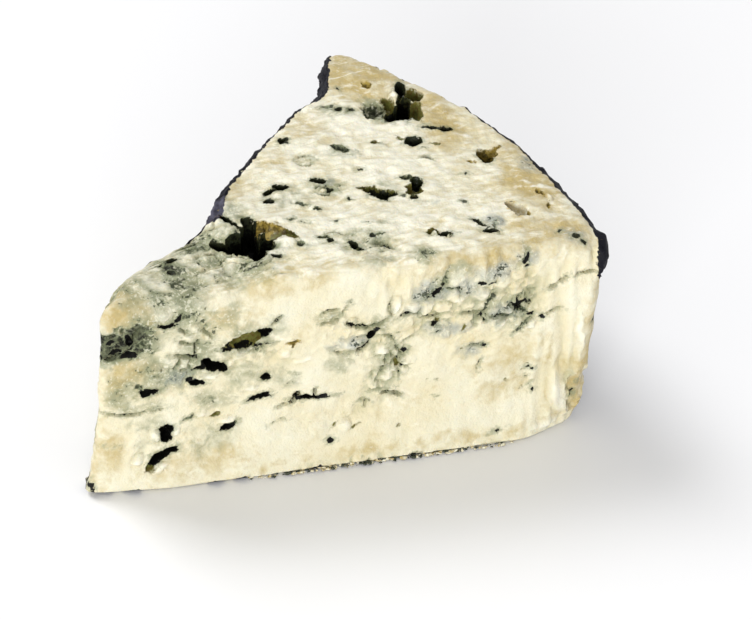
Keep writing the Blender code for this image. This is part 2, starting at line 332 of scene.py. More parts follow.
# Holes of the top: place x, y, then length, width, turn in degrees, depth and lining. A cream or
# pale hole has no lining: it is a dent in the plain paste.
TOP_HOLES = (
    (31.2, 12.4, 7.6, 6.4, -30, 9.0, "dark"),
    (27.2, 13.3, 6.8, 2.2, -50, 5.0, "dark"),
    (33.3, 17.6, 5.2, 2.6, 100, 6.5, "dark"),
    (32.7, 15.0, 5.0, 3.8, 80, 8.0, "dark"),
    (30.0, 18.9, 5.8, 1.2, -62, 3.0, "dark"),
    (36.7, 15.1, 6.6, 3.8, -34, 1.7, "amber"),
    (38.8, 13.4, 4.6, 2.6, -36, 1.2, "olive"),
    (35.0, 16.6, 2.8, 2.2, -20, 3.4, "amber"),
    (36.2, 12.9, 3.4, 2.4, -20, 6.0, "dark"),
    (34.2, 10.8, 4.6, 4.2, 20, 4.6, "green"),
    (32.4, 8.6, 3.4, 2.6, -20, 3.6, "green"),
    (35.2, 7.0, 2.4, 0.9, -12, 1.4, "dark"),
    (75.3, 56.0, 2.2, 5.6, -14, 5.0, "dark"),
    (71.5, 48.0, 4.6, 6.4, -12, 6.4, "dark"),
    (74.2, 49.6, 3.0, 9.6, -12, 7.0, "dark"),
    (76.9, 53.6, 3.4, 4.4, -14, 4.8, "olive"),
    (75.9, 48.2, 2.6, 7.6, -12, 3.4, "olive"),
    (71.0, 51.0, 2.8, 4.6, -12, 2.6, "olive"),
    (67.8, 50.0, 4.6, 6.2, -14, 2.0, "pale"),
    (69.0, 58.4, 2.4, 2.0, -20, 1.8, "amber"),
    (63.0, 58.3, 0.9, 0.8, 0, 1.0, "dark"),
    (58.9, 52.2, 2.2, 0.8, -2, 0.9, "green"),
    (61.0, 51.4, 1.8, 1.3, 20, 1.6, "dark"),
    (63.3, 50.7, 1.6, 1.0, -20, 1.2, "dark"),
    (47.1, 42.6, 2.4, 1.6, 50, 2.0, "dark"),
    (57.4, 37.6, 4.4, 1.9, -34, 1.4, "green"),
    (64.6, 38.6, 2.0, 1.2, -20, 0.7, "olive"),
    (72.0, 38.4, 3.2, 2.6, -14, 4.4, "dark"),
    (69.9, 39.6, 1.6, 0.9, -30, 1.0, "olive"),
    (79.6, 41.4, 3.0, 2.2, -18, 3.8, "dark"),
    (77.2, 41.9, 3.2, 1.3, -6, 2.4, "dark"),
    (76.0, 36.5, 1.5, 0.7, -10, 0.8, "olive"),
    (84.9, 31.2, 4.2, 4.0, 30, 4.6, "amber"),
    (83.9, 30.2, 2.6, 4.2, 8, 5.4, "dark"),
    (86.9, 32.4, 3.6, 1.7, 20, 2.4, "amber"),
    (80.7, 29.7, 1.3, 1.4, 0, 1.2, "amber"),
    (81.6, 29.3, 0.8, 1.0, 0, 1.0, "amber"),
    (42.4, 28.0, 3.6, 1.7, -14, 4.0, "dark"),
    (40.2, 27.0, 3.2, 1.2, 30, 3.0, "dark"),
    (38.7, 23.9, 2.2, 1.5, -18, 2.6, "dark"),
    (50.3, 28.4, 2.5, 1.5, -8, 3.2, "dark"),
    (51.3, 25.4, 1.6, 1.1, -20, 2.0, "dark"),
    (66.6, 26.2, 1.8, 1.7, -20, 2.6, "green"),
    (68.4, 24.4, 3.2, 2.6, -20, 5.0, "dark"),
    (66.8, 22.0, 3.2, 4.4, -40, 2.2, "olive"),
    (66.4, 19.7, 1.5, 1.6, 0, 2.6, "dark"),
    (60.6, 22.0, 4.8, 3.6, -12, 4.4, "dark"),
    (59.6, 23.6, 4.4, 2.4, -20, 2.2, "olive"),
    (62.2, 22.0, 2.0, 3.0, -10, 3.0, "olive"),
    (57.6, 24.9, 3.0, 1.0, -30, 1.0, "olive"),
    (44.6, 22.0, 2.2, 1.0, -40, 0.9, "green"),
    (47.3, 19.7, 1.3, 1.1, 0, 1.2, "green"),
    (75.4, 16.4, 1.3, 0.9, -20, 0.8, "green"),
    (90.5, 16.8, 3.4, 0.8, 96, 1.2, "amber"),
    (90.8, 12.2, 2.2, 0.9, 70, 1.2, "amber"),
    (84.8, 12.4, 2.8, 5.4, 22, 2.6, "cream"),
    (85.6, 10.9, 1.8, 2.6, 22, 2.8, "amber"),
    (67.8, 7.3, 3.6, 1.5, -14, 2.6, "dark"),
    (66.4, 8.4, 2.6, 1.6, 10, 1.6, "olive"),
    (76.2, 9.4, 2.8, 0.7, -60, 2.2, "dark"),
    (77.3, 6.9, 2.8, 1.3, -24, 4.0, "dark"),
    (50.7, 7.5, 3.0, 1.2, -76, 3.0, "dark"),
    (51.7, 5.9, 2.0, 1.2, -10, 3.2, "dark"),
    (54.8, 9.4, 1.4, 1.0, 0, 1.0, "dark"),
    (45.8, 10.8, 1.5, 1.0, -20, 1.2, "green"),
    (46.8, 9.4, 1.1, 0.9, 20, 1.0, "dark"),
    (41.0, 9.8, 1.7, 1.1, 20, 0.9, "green"),
    (90.0, 4.0, 1.0, 0.8, 0, 0.6, "dark"),
    (92.3, 2.0, 1.2, 0.9, 0, 0.8, "dark"),
    (93.6, 1.2, 0.9, 0.7, 0, 0.8, "dark"),
    (17.6, 12.6, 2.4, 1.8, 20, 1.8, "dark"),
    (15.0, 11.6, 1.3, 1.0, 0, 1.2, "dark"),
    (16.3, 8.8, 1.5, 1.2, 30, 1.2, "dark"),
    (21.2, 16.0, 3.2, 1.7, 20, 0.9, "green"),
    (5.1, 6.4, 1.2, 1.0, 0, 0.8, "dark"),
    (12.1, 2.8, 1.1, 1.0, 0, 0.9, "dark"),
    (11.7, 1.0, 1.0, 1.2, 0, 0.9, "dark"),
)

# Holes of the front cut: place x, z, then the same.
FRONT_HOLES = (
    (3.0, 34.6, 2.0, 1.0, 30, 1.2, "dark"),
    (4.0, 32.6, 2.6, 1.1, 12, 1.4, "dark"),
    (6.6, 35.4, 1.2, 3.0, 12, 1.6, "dark"),
    (1.4, 31.6, 1.8, 0.9, -20, 1.2, "dark"),
    (6.4, 31.0, 3.4, 0.8, 14, 1.2, "dark"),
    (8.8, 33.6, 2.0, 1.2, -20, 0.9, "green"),
    (10.0, 36.4, 1.8, 1.0, 0, 0.9, "green"),
    (13.4, 37.3, 3.6, 0.9, -6, 2.2, "dark"),
    (15.4, 38.2, 2.2, 1.2, 38, 2.4, "dark"),
    (28.6, 31.9, 6.8, 3.9, 12, 2.4, "olive"),
    (31.4, 33.2, 3.4, 2.6, 10, 5.0, "dark"),
    (25.6, 30.9, 1.2, 1.0, 0, 3.0, "dark"),
    (29.0, 30.2, 8.4, 0.5, 3, 1.4, "dark"),
    (22.6, 27.0, 4.6, 2.0, -8, 4.4, "dark"),
    (20.4, 26.9, 3.0, 1.0, 24, 2.6, "dark"),
    (21.6, 27.6, 2.6, 1.6, -16, 3.0, "dark"),
    (24.6, 26.4, 3.0, 1.4, -30, 3.4, "dark"),
    (19.8, 23.3, 3.0, 1.6, -8, 3.2, "dark"),
    (18.4, 24.2, 1.4, 0.9, 50, 1.8, "dark"),
    (10.4, 22.7, 3.4, 1.3, 10, 2.2, "dark"),
    (8.6, 23.6, 2.0, 0.7, -30, 1.0, "green"),
    (18.4, 15.4, 1.8, 0.7, 20, 0.7, "green"),
    (14.4, 13.6, 2.8, 2.3, 4, 4.0, "dark"),
    (14.3, 11.7, 2.7, 2.4, -30, 4.0, "dark"),
    (13.0, 7.3, 6.4, 1.9, 34, 4.0, "dark"),
    (15.2, 8.6, 2.4, 1.4, -10, 3.0, "dark"),
    (11.0, 5.4, 2.8, 1.6, 40, 2.0, "olive"),
    (24.3, 14.7, 2.1, 1.3, 10, 1.8, "olive"),
    (25.9, 11.7, 3.0, 1.3, 20, 3.2, "dark"),
    (27.3, 12.6, 1.4, 0.7, 30, 1.2, "green"),
    (32.9, 22.3, 2.4, 1.3, -30, 3.0, "dark"),
    (31.6, 17.9, 3.8, 1.2, 14, 3.0, "dark"),
    (33.2, 18.1, 1.8, 1.3, -20, 2.8, "dark"),
    (41.2, 16.4, 5.2, 1.3, -4, 3.2, "dark"),
    (44.6, 16.0, 4.6, 0.7, -2, 2.2, "dark"),
    (0.2, 2.6, 0.9, 1.8, 0, 0.5, "dark"),
    (47.0, 9.1, 1.3, 0.7, 40, 0.9, "olive"),
    (51.6, 8.6, 2.0, 0.8, 26, 1.0, "olive"),
    (45.8, 6.6, 1.6, 0.9, -20, 1.6, "dark"),
    (37.9, 29.9, 2.8, 1.0, 0, 1.6, "amber"),
    (38.2, 29.0, 0.9, 1.6, 0, 1.4, "amber"),
    (35.6, 28.2, 1.1, 1.0, 0, 0.7, "cream"),
    (53.0, 28.9, 2.3, 1.6, 55, 3.2, "dark"),
    (54.2, 30.2, 1.6, 0.8, 0, 1.8, "dark"),
    (59.8, 24.6, 1.3, 0.9, -20, 1.8, "dark"),
    (58.9, 21.8, 1.6, 1.0, -40, 1.5, "olive"),
    (65.2, 37.2, 3.2, 0.9, 48, 2.4, "dark"),
    (66.3, 40.2, 2.0, 0.6, 74, 1.4, "green"),
    (64.0, 36.0, 1.8, 0.7, 10, 1.8, "dark"),
    (67.6, 37.6, 1.5, 0.8, 0, 1.2, "green"),
    (73.8, 38.6, 1.5, 1.2, 20, 1.4, "dark"),
    (75.8, 38.0, 1.2, 0.8, 0, 1.0, "dark"),
    (82.0, 43.0, 1.0, 2.6, -10, 1.2, "dark"),
    (82.6, 41.0, 1.1, 0.8, 0, 1.0, "dark"),
    (75.8, 33.2, 4.0, 0.7, 66, 1.6, "green"),
    (82.6, 30.6, 2.6, 1.0, -46, 2.0, "green"),
    (84.2, 29.0, 1.4, 1.0, 0, 2.0, "dark"),
    (83.2, 27.0, 3.0, 0.7, 52, 1.2, "green"),
    (87.0, 28.5, 1.5, 0.9, 0, 1.8, "dark"),
    (65.7, 29.7, 1.3, 1.1, 0, 1.6, "dark"),
    (66.0, 28.0, 0.9, 0.7, 0, 1.0, "dark"),
    (71.0, 28.4, 0.9, 1.5, 0, 1.2, "olive"),
    (76.0, 23.3, 1.0, 0.8, 0, 1.0, "dark"),
    (97.4, 10.4, 6.0, 12.6, -16, 1.1, "cream"),
    (95.6, 8.6, 1.5, 0.7, 20, 2.6, "dark"),
    (96.0, 5.0, 1.5, 2.4, -30, 0.8, "cream"),
    (80.0, 3.6, 2.6, 0.6, 18, 1.4, "dark"),
    (98.0, 25.6, 0.9, 1.7, 10, 0.4, "dark"),
)

# Scattered holes: face, count, range along, range up or across, sizes, linings and seed.
SCATTERED_HOLES = (
    ("second", 50, (6, 92), (4, 38), (1.5, 5.0), ("dark", "dark", "dark", "green", "olive", "amber"), 5),
    ("top", 16, (34, 84), (4, 40), (0.5, 0.9), ("dark", "green"), 8),
    ("front", 18, (4, 84), (6, 40), (0.35, 0.65), ("olive", "green"), 9),
    ("front", 12, (80, 87), (10, 18), (0.4, 0.6), ("olive", "dark"), 10),
)
SLIT_STRETCHES = (0.6, 1.0, 1.0, 1.6)
SLIT_WIDTHS = (0.3, 0.85)
SLIT_STEEPNESS = 0.7
SLIT_DEPTH = 0.4
SLIT_DEEPEST = 4.5
SLIT_TURN = 25

# Cracks of the front cut: place x, z, then length, width, turn, sag of the arc and depth.
FRONT_CRACKS = (
    (6.2, 18.6, 10.2, 0.5, -4, -0.9, 0.9),
    (12.6, 18.0, 3.6, 0.5, 14, 0.0, 0.7),
    (4.8, 31.2, 7.2, 0.8, 8, 0.2, 1.6),
    (8.2, 36.2, 3.6, 1.0, 66, 0.2, 1.6),
    (19.6, 31.4, 3.8, 0.6, 84, 0.3, 1.3),
    (17.4, 32.7, 3.4, 0.5, -14, -0.3, 1.1),
    (75.5, 18.9, 2.6, 0.6, 74, 0.2, 0.7),
    (17.6, 29.6, 5.4, 0.7, -12, 0.1, 1.3),
    (16.6, 35.4, 2.8, 0.6, -46, 0.0, 0.9),
    (21.2, 34.2, 3.6, 0.6, -50, 0.3, 0.9),
    (34.2, 35.6, 3.2, 0.7, 40, 0.2, 1.0),
    (31.6, 29.3, 4.0, 0.5, 12, 0.2, 0.7),
    (44.6, 35.7, 3.2, 0.6, 8, 0.5, 1.0),
    (44.8, 33.6, 3.8, 0.6, 6, -0.5, 1.0),
    (47.6, 35.7, 2.8, 0.5, 52, 0.2, 0.8),
    (50.2, 32.0, 5.4, 0.8, -22, -0.3, 1.1),
    (54.4, 32.0, 4.4, 0.7, 24, -0.5, 1.1),
    (56.7, 34.6, 3.6, 0.6, 110, 0.4, 1.0),
    (51.4, 26.8, 3.6, 0.7, 42, -0.6, 1.3),
    (47.8, 26.3, 4.6, 0.5, -6, -0.5, 0.9),
    (56.0, 28.0, 3.8, 0.6, -22, 0.7, 1.0),
    (58.6, 24.0, 4.6, 0.6, -64, 0.5, 1.0),
    (56.0, 19.4, 3.6, 0.35, 60, 0.6, 0.8),
    (58.9, 19.4, 3.4, 0.35, 108, -0.4, 0.8),
    (56.8, 16.4, 3.6, 0.35, -12, -0.6, 0.8),
    (55.0, 15.6, 3.0, 0.5, 4, 0.2, 0.8),
    (58.3, 14.6, 4.2, 0.8, -16, 0.2, 2.2),
    (38.9, 16.6, 2.8, 0.9, 58, 0.0, 2.4),
    (42.7, 17.6, 2.4, 0.7, 74, 0.0, 2.4),
    (37.0, 15.4, 2.4, 0.5, 20, 0.0, 0.9),
    (52.9, 13.4, 2.8, 0.5, -8, 0.2, 0.9),
    (53.2, 12.6, 1.6, 0.5, 86, 0.0, 0.8),
    (60.4, 32.6, 4.0, 0.7, 0, 0.6, 1.2),
    (64.6, 32.0, 4.6, 0.6, -3, -0.3, 1.1),
    (68.6, 37.5, 3.4, 0.6, -12, 0.5, 1.0),
    (72.6, 31.2, 4.4, 0.6, -6, 0.0, 1.0),
    (78.6, 29.9, 5.4, 0.7, -6, -0.4, 1.2),
    (74.0, 23.3, 3.0, 0.5, -10, 0.3, 0.8),
    (89.2, 36.2, 4.6, 0.8, 34, -0.5, 1.2),
    (89.0, 29.0, 3.8, 0.6, 14, 0.3, 0.9),
    (94.8, 37.2, 4.2, 0.6, -4, 0.4, 1.2),
    (60.6, 27.0, 3.0, 0.5, 30, 0.3, 0.7),
    (36.0, 11.6, 3.0, 0.4, 10, 0.2, 0.5),
)

# Cracks and torn lines of the top: place x, y, then the same.
TOP_CRACKS = (
    (73.0, 31.8, 3.0, 0.8, -24, 0.7, 1.2),
    (74.4, 63.2, 2.6, 0.5, -42, 0.0, 0.8),
    (49.6, 36.4, 3.4, 0.5, -8, 0.9, 0.5),
    (49.4, 34.8, 3.2, 0.5, -10, -0.8, 0.5),
    (50.0, 24.9, 2.8, 0.6, -6, -0.7, 1.2),
    (49.8, 26.2, 2.4, 0.5, -4, 0.5, 0.8),
    (29.2, 20.4, 3.4, 0.7, -60, 0.0, 2.0),
    (48.6, 11.2, 5.0, 0.5, -16, 0.4, 0.5),
    (56.4, 6.6, 4.4, 0.7, -44, 0.2, 0.9),
    (78.8, 8.2, 2.6, 0.6, 76, 0.5, 1.0),
    (16.2, 6.2, 4.4, 0.5, -30, 0.5, 0.6),
)

# Random cracks of the second cut: count, seed, corners of their places, then their own sizes.
SECOND_CRACKS = 40
SECOND_CRACK_SEED = 12
SECOND_CRACK_PLACES = ((6.0, 6.0), (92.0, 38.0))
SECOND_CRACK_LENGTHS = (2.5, 9.0)
SECOND_CRACK_WIDTH = 0.7
SECOND_CRACK_BEND = (16.0, 0.5)
SECOND_CRACK_DEPTH = 1.2

# Raised knobs and lips: place, length, width, turn, sag, rise. Each dome also carries a painted highlight.
FRONT_LUMPS = (
    (57.3, 35.2, 2.4, 3.6, -8, 0.0, 0.9),
    (12.4, 12.0, 1.9, 2.6, 10, 0.0, 0.8),
    (8.6, 7.0, 3.0, 2.0, 30, 0.0, 0.7),
    (13.2, 5.4, 4.2, 1.7, 20, 0.0, 0.7),
    (16.4, 12.6, 1.6, 2.4, 0, 0.0, 0.6),
    (26.0, 13.3, 3.2, 1.3, 12, 0.0, 0.8),
    (12.4, 39.6, 3.8, 2.6, 6, 0.0, 0.7),
    (49.4, 9.0, 3.2, 2.6, 10, 0.0, 0.7),
    (84.8, 26.9, 2.2, 2.0, 0, 0.0, 0.8),
    (80.4, 30.6, 3.0, 2.0, 0, 0.0, 0.6),
    (78.8, 28.2, 2.2, 1.6, 0, 0.0, 0.5),
    (49.0, 28.0, 6.0, 2.2, -2, -0.5, 0.5),
    (44.7, 34.6, 2.8, 1.2, 4, 0.0, 0.4),
    (36.4, 27.2, 2.6, 2.6, 0, 0.0, 0.5),
    (55.4, 25.6, 2.8, 2.2, 0, 0.0, 0.5),
    (57.2, 18.8, 2.2, 2.2, 0, 0.0, 0.6),
    (63.2, 39.6, 1.8, 3.0, 12, 0.0, 0.6),
    (61.0, 34.6, 2.6, 2.2, 0, 0.0, 0.5),
    (70.0, 34.6, 3.0, 2.0, 0, 0.0, 0.5),
    (74.6, 35.6, 2.4, 2.0, 0, 0.0, 0.5),
    (66.6, 42.4, 1.4, 1.0, 0, 0.0, 0.5),
    (22.0, 24.8, 5.0, 1.5, 14, 0.0, 0.4),
    (28.4, 29.0, 5.0, 0.9, 6, 0.2, 0.5),
    (92.9, 9.4, 12.4, 3.8, 99, 0.6, 1.1),
    (95.4, 24.6, 11.0, 1.6, 98, 0.4, 0.5),
    (90.0, 2.6, 9.0, 2.0, 2, 0.0, 0.6),
    (40.0, 25.4, 4.0, 1.6, 8, 0.0, 0.3),
    (21.4, 15.8, 3.0, 1.2, 10, 0.0, 0.4),
    (30.0, 20.2, 3.2, 1.2, 0, 0.0, 0.3),
)
TOP_LUMPS = (
    (28.3, 9.9, 7.0, 0.7, -34, -0.6, 0.7),
    (33.0, 6.5, 3.6, 0.7, 14, -0.5, 0.6),
    (73.2, 53.4, 2.4, 2.8, -14, 0.0, 1.2),
    (62.2, 50.6, 1.2, 0.9, 0, 0.0, 0.6),
    (75.0, 64.0, 2.4, 0.9, -42, 0.0, 0.7),
    (26.0, 19.3, 2.2, 1.5, 10, 0.0, 0.9),
    (28.2, 16.4, 5.0, 4.4, 10, 0.0, 0.5),
    (38.6, 10.6, 4.6, 3.0, -20, 0.0, 0.5),
    (66.2, 7.4, 1.1, 0.9, 0, 0.0, 1.0),
    (68.9, 6.7, 1.2, 1.0, 0, 0.0, 0.9),
    (79.0, 9.2, 2.6, 1.9, 10, 0.0, 0.5),
    (22.4, 6.4, 7.0, 4.0, -8, 0.0, 0.6),
    (91.6, 14.4, 1.2, 3.0, 0, 0.0, 0.5),
    (50.0, 25.6, 1.5, 0.9, 0, 0.0, 0.5),
    (80.8, 29.8, 0.9, 0.8, 0, 0.0, 0.7),
)


def on_front(depth, *rows):
    """Spots this deep on the front cut, from rows of x, z, half width, half height and strength."""
    return tuple(((x, 0.0, z), (wide, depth, high), strength) for x, z, wide, high, strength in rows)


def on_top(depth, *rows):
    """Spots this deep on the level top, from rows of x, y, half length, half width and strength."""
    return tuple(((x, y, HEIGHT), (long, wide, depth), strength) for x, y, long, wide, strength in rows)


# Where the paste is broken up into curds: spots of centre, radii and strength.
CRUMBLY_PLACES = (
    *on_front(
        4.0,
        (15.0, 27.0, 7.0, 5.0, 1.0),
        (18.0, 36.0, 8.0, 5.0, 0.6),
        (27.0, 29.0, 8.0, 5.0, 0.5),
        (10.0, 9.0, 8.0, 5.0, 0.45),
        (36.0, 27.0, 5.0, 4.0, 0.35),
        (48.0, 30.0, 8.0, 6.0, 0.6),
        (57.0, 22.0, 6.0, 11.0, 0.9),
        (48.0, 11.0, 8.0, 4.0, 0.5),
        (66.0, 33.0, 8.0, 8.0, 0.95),
        (78.0, 33.0, 10.0, 9.0, 0.95),
        (72.0, 24.0, 8.0, 5.0, 0.5),
        (95.5, 9.0, 3.0, 7.0, 0.8),
    ),
    ((26.0, 12.0, 44.0), (7.0, 9.0, 4.0), 0.7),
    ((55.0, -2.0, 0.5), (34.0, 4.0, 1.8), 0.8),
    ((4.5, 0.0, 34.0), (6.0, 5.0, 5.0), 1.0),
    ((56.0, 6.0, 45.0), (8.0, 5.0, 3.0), 0.5),
)

# Grey-green veils of mould, the same way.
GREEN_STAINS = (
    *on_front(
        3.0,
        (9.6, 19.6, 6.0, 2.6, 0.6),
        (33.6, 34.0, 3.6, 3.2, 0.5),
        (31.8, 28.6, 4.0, 1.8, 0.45),
        (47.8, 23.6, 3.6, 3.0, 0.5),
        (44.7, 34.5, 3.0, 1.8, 0.7),
        (53.0, 31.6, 6.0, 2.0, 0.65),
        (56.0, 24.0, 4.6, 7.0, 0.42),
        (57.4, 18.4, 3.0, 3.6, 0.36),
        (66.0, 39.6, 2.6, 3.4, 0.7),
        (68.6, 41.4, 3.4, 2.4, 0.62),
        (82.2, 29.6, 5.4, 3.0, 0.75),
        (76.0, 33.0, 2.6, 3.0, 0.6),
        (95.6, 8.6, 1.2, 1.2, 0.45),
        (12.0, 14.6, 6.0, 2.4, 0.5),
        (19.0, 10.0, 12.0, 6.0, 0.3),
        (22.0, 19.0, 8.0, 2.6, 0.6),
        (30.0, 23.0, 8.0, 4.0, 0.42),
        (20.0, 26.0, 6.0, 4.0, 0.6),
        (37.0, 21.0, 5.0, 3.0, 0.35),
        (79.0, 32.0, 9.0, 5.0, 0.4),
    ),
    *on_front(
        4.0,
        (7.8, 36.2, 4.2, 3.0, 1.55),
        (20.0, 37.6, 9.0, 4.6, 0.6),
        (11.0, 38.8, 5.0, 2.8, 0.9),
        (4.8, 23.4, 3.6, 5.0, 0.62),
        (13.0, 26.0, 7.6, 5.2, 0.78),
        (19.6, 30.4, 5.6, 3.0, 0.7),
        (28.6, 32.0, 6.0, 4.2, 0.75),
    ),
    *on_top(
        3.0,
        (62.6, 2.2, 2.8, 2.8, 0.95),
        (53.2, 7.6, 5.4, 4.6, 0.85),
        (46.6, 10.2, 3.4, 2.6, 0.75),
        (41.2, 9.8, 3.0, 2.2, 0.65),
        (59.6, 23.0, 5.0, 4.0, 0.5),
        (50.6, 26.6, 4.4, 3.6, 0.55),
        (43.6, 24.6, 5.0, 4.0, 0.5),
        (49.6, 35.8, 2.6, 2.0, 0.62),
        (57.2, 36.6, 3.6, 2.4, 0.7),
        (61.0, 50.4, 4.4, 2.2, 0.7),
        (30.0, 24.8, 3.6, 5.0, 0.4),
    ),
    ((12.0, 2.0, 42.0), (2.6, 3.0, 3.4), 1.1),
    ((16.6, 9.8, 42.6), (3.4, 5.0, 4.0), 1.2),
    ((21.2, 16.0, 42.8), (4.0, 2.8, 4.0), 1.2),
    ((18.0, 5.0, 42.0), (5.0, 7.0, 7.0), 1.05),
    ((9.0, 6.0, 41.0), (6.0, 7.0, 5.0), 0.75),
    ((25.0, 16.0, 43.0), (5.0, 5.0, 4.0), 0.85),
    ((16.6, 11.4, 43.0), (2.8, 2.6, 4.0), 1.45),
    ((31.0, 6.4, 44.0), (3.4, 1.8, 3.0), 1.25),
    ((36.0, 9.6, 44.0), (2.2, 1.8, 3.0), 1.25),
    ((24.0, 6.0, 44.0), (7.0, 6.0, 3.0), 0.78),
    ((24.0, 11.6, 43.0), (5.0, 4.0, 4.0), 0.85),
    ((13.0, 8.0, 42.0), (3.0, 6.0, 4.0), 0.7),
    ((30.0, 6.4, 44.0), (5.4, 2.6, 3.6), 0.9),
    ((28.4, 16.4, 44.0), (2.8, 2.8, 4.0), 0.7),
    ((33.0, 3.0, 44.5), (3.4, 2.4, 3.0), 0.6),
    ((5.2, 6.4, 41.0), (1.8, 2.0, 3.0), 0.6),
    ((52.4, 2.4, 44.6), (5.4, 2.0, 3.0), 0.62),
    ((17.0, 0.0, 38.6), (6.4, 5.0, 3.4), 0.85),
    ((4.0, 0.0, 33.6), (7.6, 6.0, 3.9), 2.0),
    ((31.6, 21.6, 45.0), (3.4, 3.4, 4.0), 0.6),
    ((68.2, 50.0, 45.0), (3.2, 4.4, 5.0), 1.15),
)

# Blue-grey bloom of mould, the same way.
BLUE_STAINS = (
    *on_front(
        3.0,
        (63.4, 38.6, 2.4, 2.2, 0.62),
        (64.6, 36.8, 3.4, 2.0, 0.9),
        (71.4, 37.4, 3.2, 2.2, 0.9),
        (79.4, 30.2, 4.4, 2.4, 0.72),
        (67.4, 28.4, 3.4, 2.0, 0.85),
        (71.2, 28.2, 2.2, 1.6, 0.6),
        (73.8, 22.6, 3.4, 1.9, 0.8),
        (48.8, 27.8, 4.4, 1.6, 0.85),
        (60.2, 33.4, 2.6, 1.6, 0.6),
        (16.6, 24.8, 3.4, 2.4, 0.5),
    ),
    *on_top(
        3.0,
        (79.0, 9.2, 2.4, 2.4, 0.9),
        (91.6, 26.4, 2.6, 3.6, 0.75),
        (51.6, 28.0, 2.0, 1.6, 0.6),
        (57.6, 35.0, 2.8, 1.0, 0.7),
        (68.8, 17.6, 2.0, 1.2, 0.5),
    ),
    ((82.2, 0.6, 43.0), (2.4, 4.0, 3.0), 0.85),
    ((91.8, 3.0, 44.4), (2.6, 2.6, 3.0), 0.72),
    ((77.2, 0.0, 40.8), (4.6, 4.0, 3.0), 1.0),
)

# Dark flecks of rind at the foot, the same way.
FOOT_FLECKS = (
    ((0.5, 0.0, 1.0), (1.6, 3.0, 2.4), 1.3),
    ((3.0, -1.0, 0.0), (1.6, 3.0, 2.0), 1.3),
    ((8.2, -1.5, 0.0), (2.2, 3.0, 2.0), 1.6),
    ((24.6, -2.0, 0.0), (1.8, 3.0, 2.0), 1.6),
    ((29.2, -2.0, 0.0), (2.0, 3.0, 2.0), 1.6),
    ((44.0, -2.0, 0.0), (2.4, 3.0, 2.0), 1.5),
    ((62.0, -2.0, 0.0), (16.0, 3.0, 2.0), 1.1),
)

# Tan, drier paste, the same way.
TAN_PLACES = (
    *on_front(
        3.0,
        (10.4, 38.0, 3.4, 2.4, 0.7),
        (81.0, 16.0, 5.0, 6.5, 0.72),
        (76.0, 44.0, 8.0, 3.0, 0.7),
        (89.4, 19.6, 0.8, 6.0, 0.6),
        (78.8, 17.4, 7.0, 5.0, 0.35),
        (86.0, 22.0, 4.0, 6.0, 0.35),
    ),
    *on_front(
        4.0,
        (23.0, 37.0, 9.0, 4.0, 0.5),
        (4.8, 24.4, 4.2, 6.0, 0.75),
        (6.4, 28.2, 6.0, 3.4, 0.8),
        (2.0, 8.0, 4.0, 9.0, 0.62),
    ),
    *on_top(
        4.0,
        (28.4, 16.4, 3.0, 3.0, 0.7),
        (84.8, 12.4, 2.2, 3.4, 1.0),
        (88.6, 5.0, 9.0, 7.0, 0.9),
        (35.0, 31.0, 4.0, 6.0, 0.7),
        (44.0, 37.4, 5.0, 4.0, 0.6),
        (52.0, 45.0, 5.0, 4.0, 0.5),
    ),
    *on_top(
        6.0,
        (68.0, 65.0, 11.0, 13.0, 1.05),
        (80.0, 45.0, 6.0, 14.0, 0.95),
        (90.0, 22.0, 7.0, 16.0, 1.0),
    ),
    ((5.6, 1.6, 41.0), (6.4, 7.0, 4.2), 0.95),
    ((33.0, 0.6, 43.4), (9.0, 4.0, 3.4), 0.55),
    ((97.0, 1.0, 10.4), (3.2, 6.0, 7.8), 1.1),
    ((86.0, 1.0, 44.0), (6.0, 4.0, 3.0), 0.7),
    ((76.0, -1.0, 3.4), (18.0, 3.0, 2.2), 0.6),
    ((98.0, 2.0, 24.0), (3.0, 4.0, 12.0), 0.7),
    ((25.4, -1.0, 7.0), (4.0, 3.0, 1.6), 0.6),
    ((18.0, -1.0, 4.6), (16.0, 3.0, 2.6), 0.5),
    ((45.0, -2.0, 2.6), (34.0, 3.0, 1.2), 0.5),
    ((68.6, 0.0, 42.8), (6.4, 3.6, 3.8), 0.95),
    ((44.0, 1.0, 45.0), (9.0, 2.6, 2.0), 0.4),
)


def smooth_step(start, end, value):
    """0 before start and 1 past end, eased between them."""
    share = np.clip((value - start) / (end - start), 0.0, 1.0)
    return share * share * (3.0 - 2.0 * share)


def bump(value, centre, half_width):
    """A bell: 1 at the centre, e to the minus 1 a half width away."""
    return np.exp(-(((value - centre) / half_width) ** 2))


def lattice_random(cell, seed):
    """Three numbers from -1 to 1 for each lattice cell, mixed from its whole-number place."""
    mixed = (cell @ CELL_MIX + seed * SEED_MIX) & LAST_BITS
    out = []
    for _ in range(3):
        mixed = ((mixed ^ (mixed >> 13)) * BITS_MIX) & LAST_BITS
        mixed = mixed ^ (mixed >> 16)
        out.append(2.0 * mixed / (LAST_BITS + 1) - 1.0)
    return np.stack(out, axis=1)


def noise(points, size, seed):
    """Gradient noise, about -1 to 1: a random slope at each lattice corner, blended smoothly."""
    place = points / np.asarray(size, float)
    cell = np.floor(place).astype(np.int64)
    inside = place - cell
    ease = inside**3 * (inside * (inside * 6.0 - 15.0) + 10.0)
    total = np.zeros(len(points))
    for corner in itertools.product((0, 1), repeat=3):
        step = np.array(corner)
        slope = lattice_random(cell + step, seed)
        weight = np.where(step == 1, ease, 1.0 - ease).prod(axis=1)
        total += weight * ((inside - step) * slope).sum(axis=1)
    return total * NOISE_GAIN


def fractal(points, size, seed, octaves=3):
    """Noise plus finer, weaker layers of itself."""
    size = np.asarray(size, float)
    layers = [noise(points, size / 2.0**i, seed + i) / 2.0**i for i in range(octaves)]
    return sum(layers)


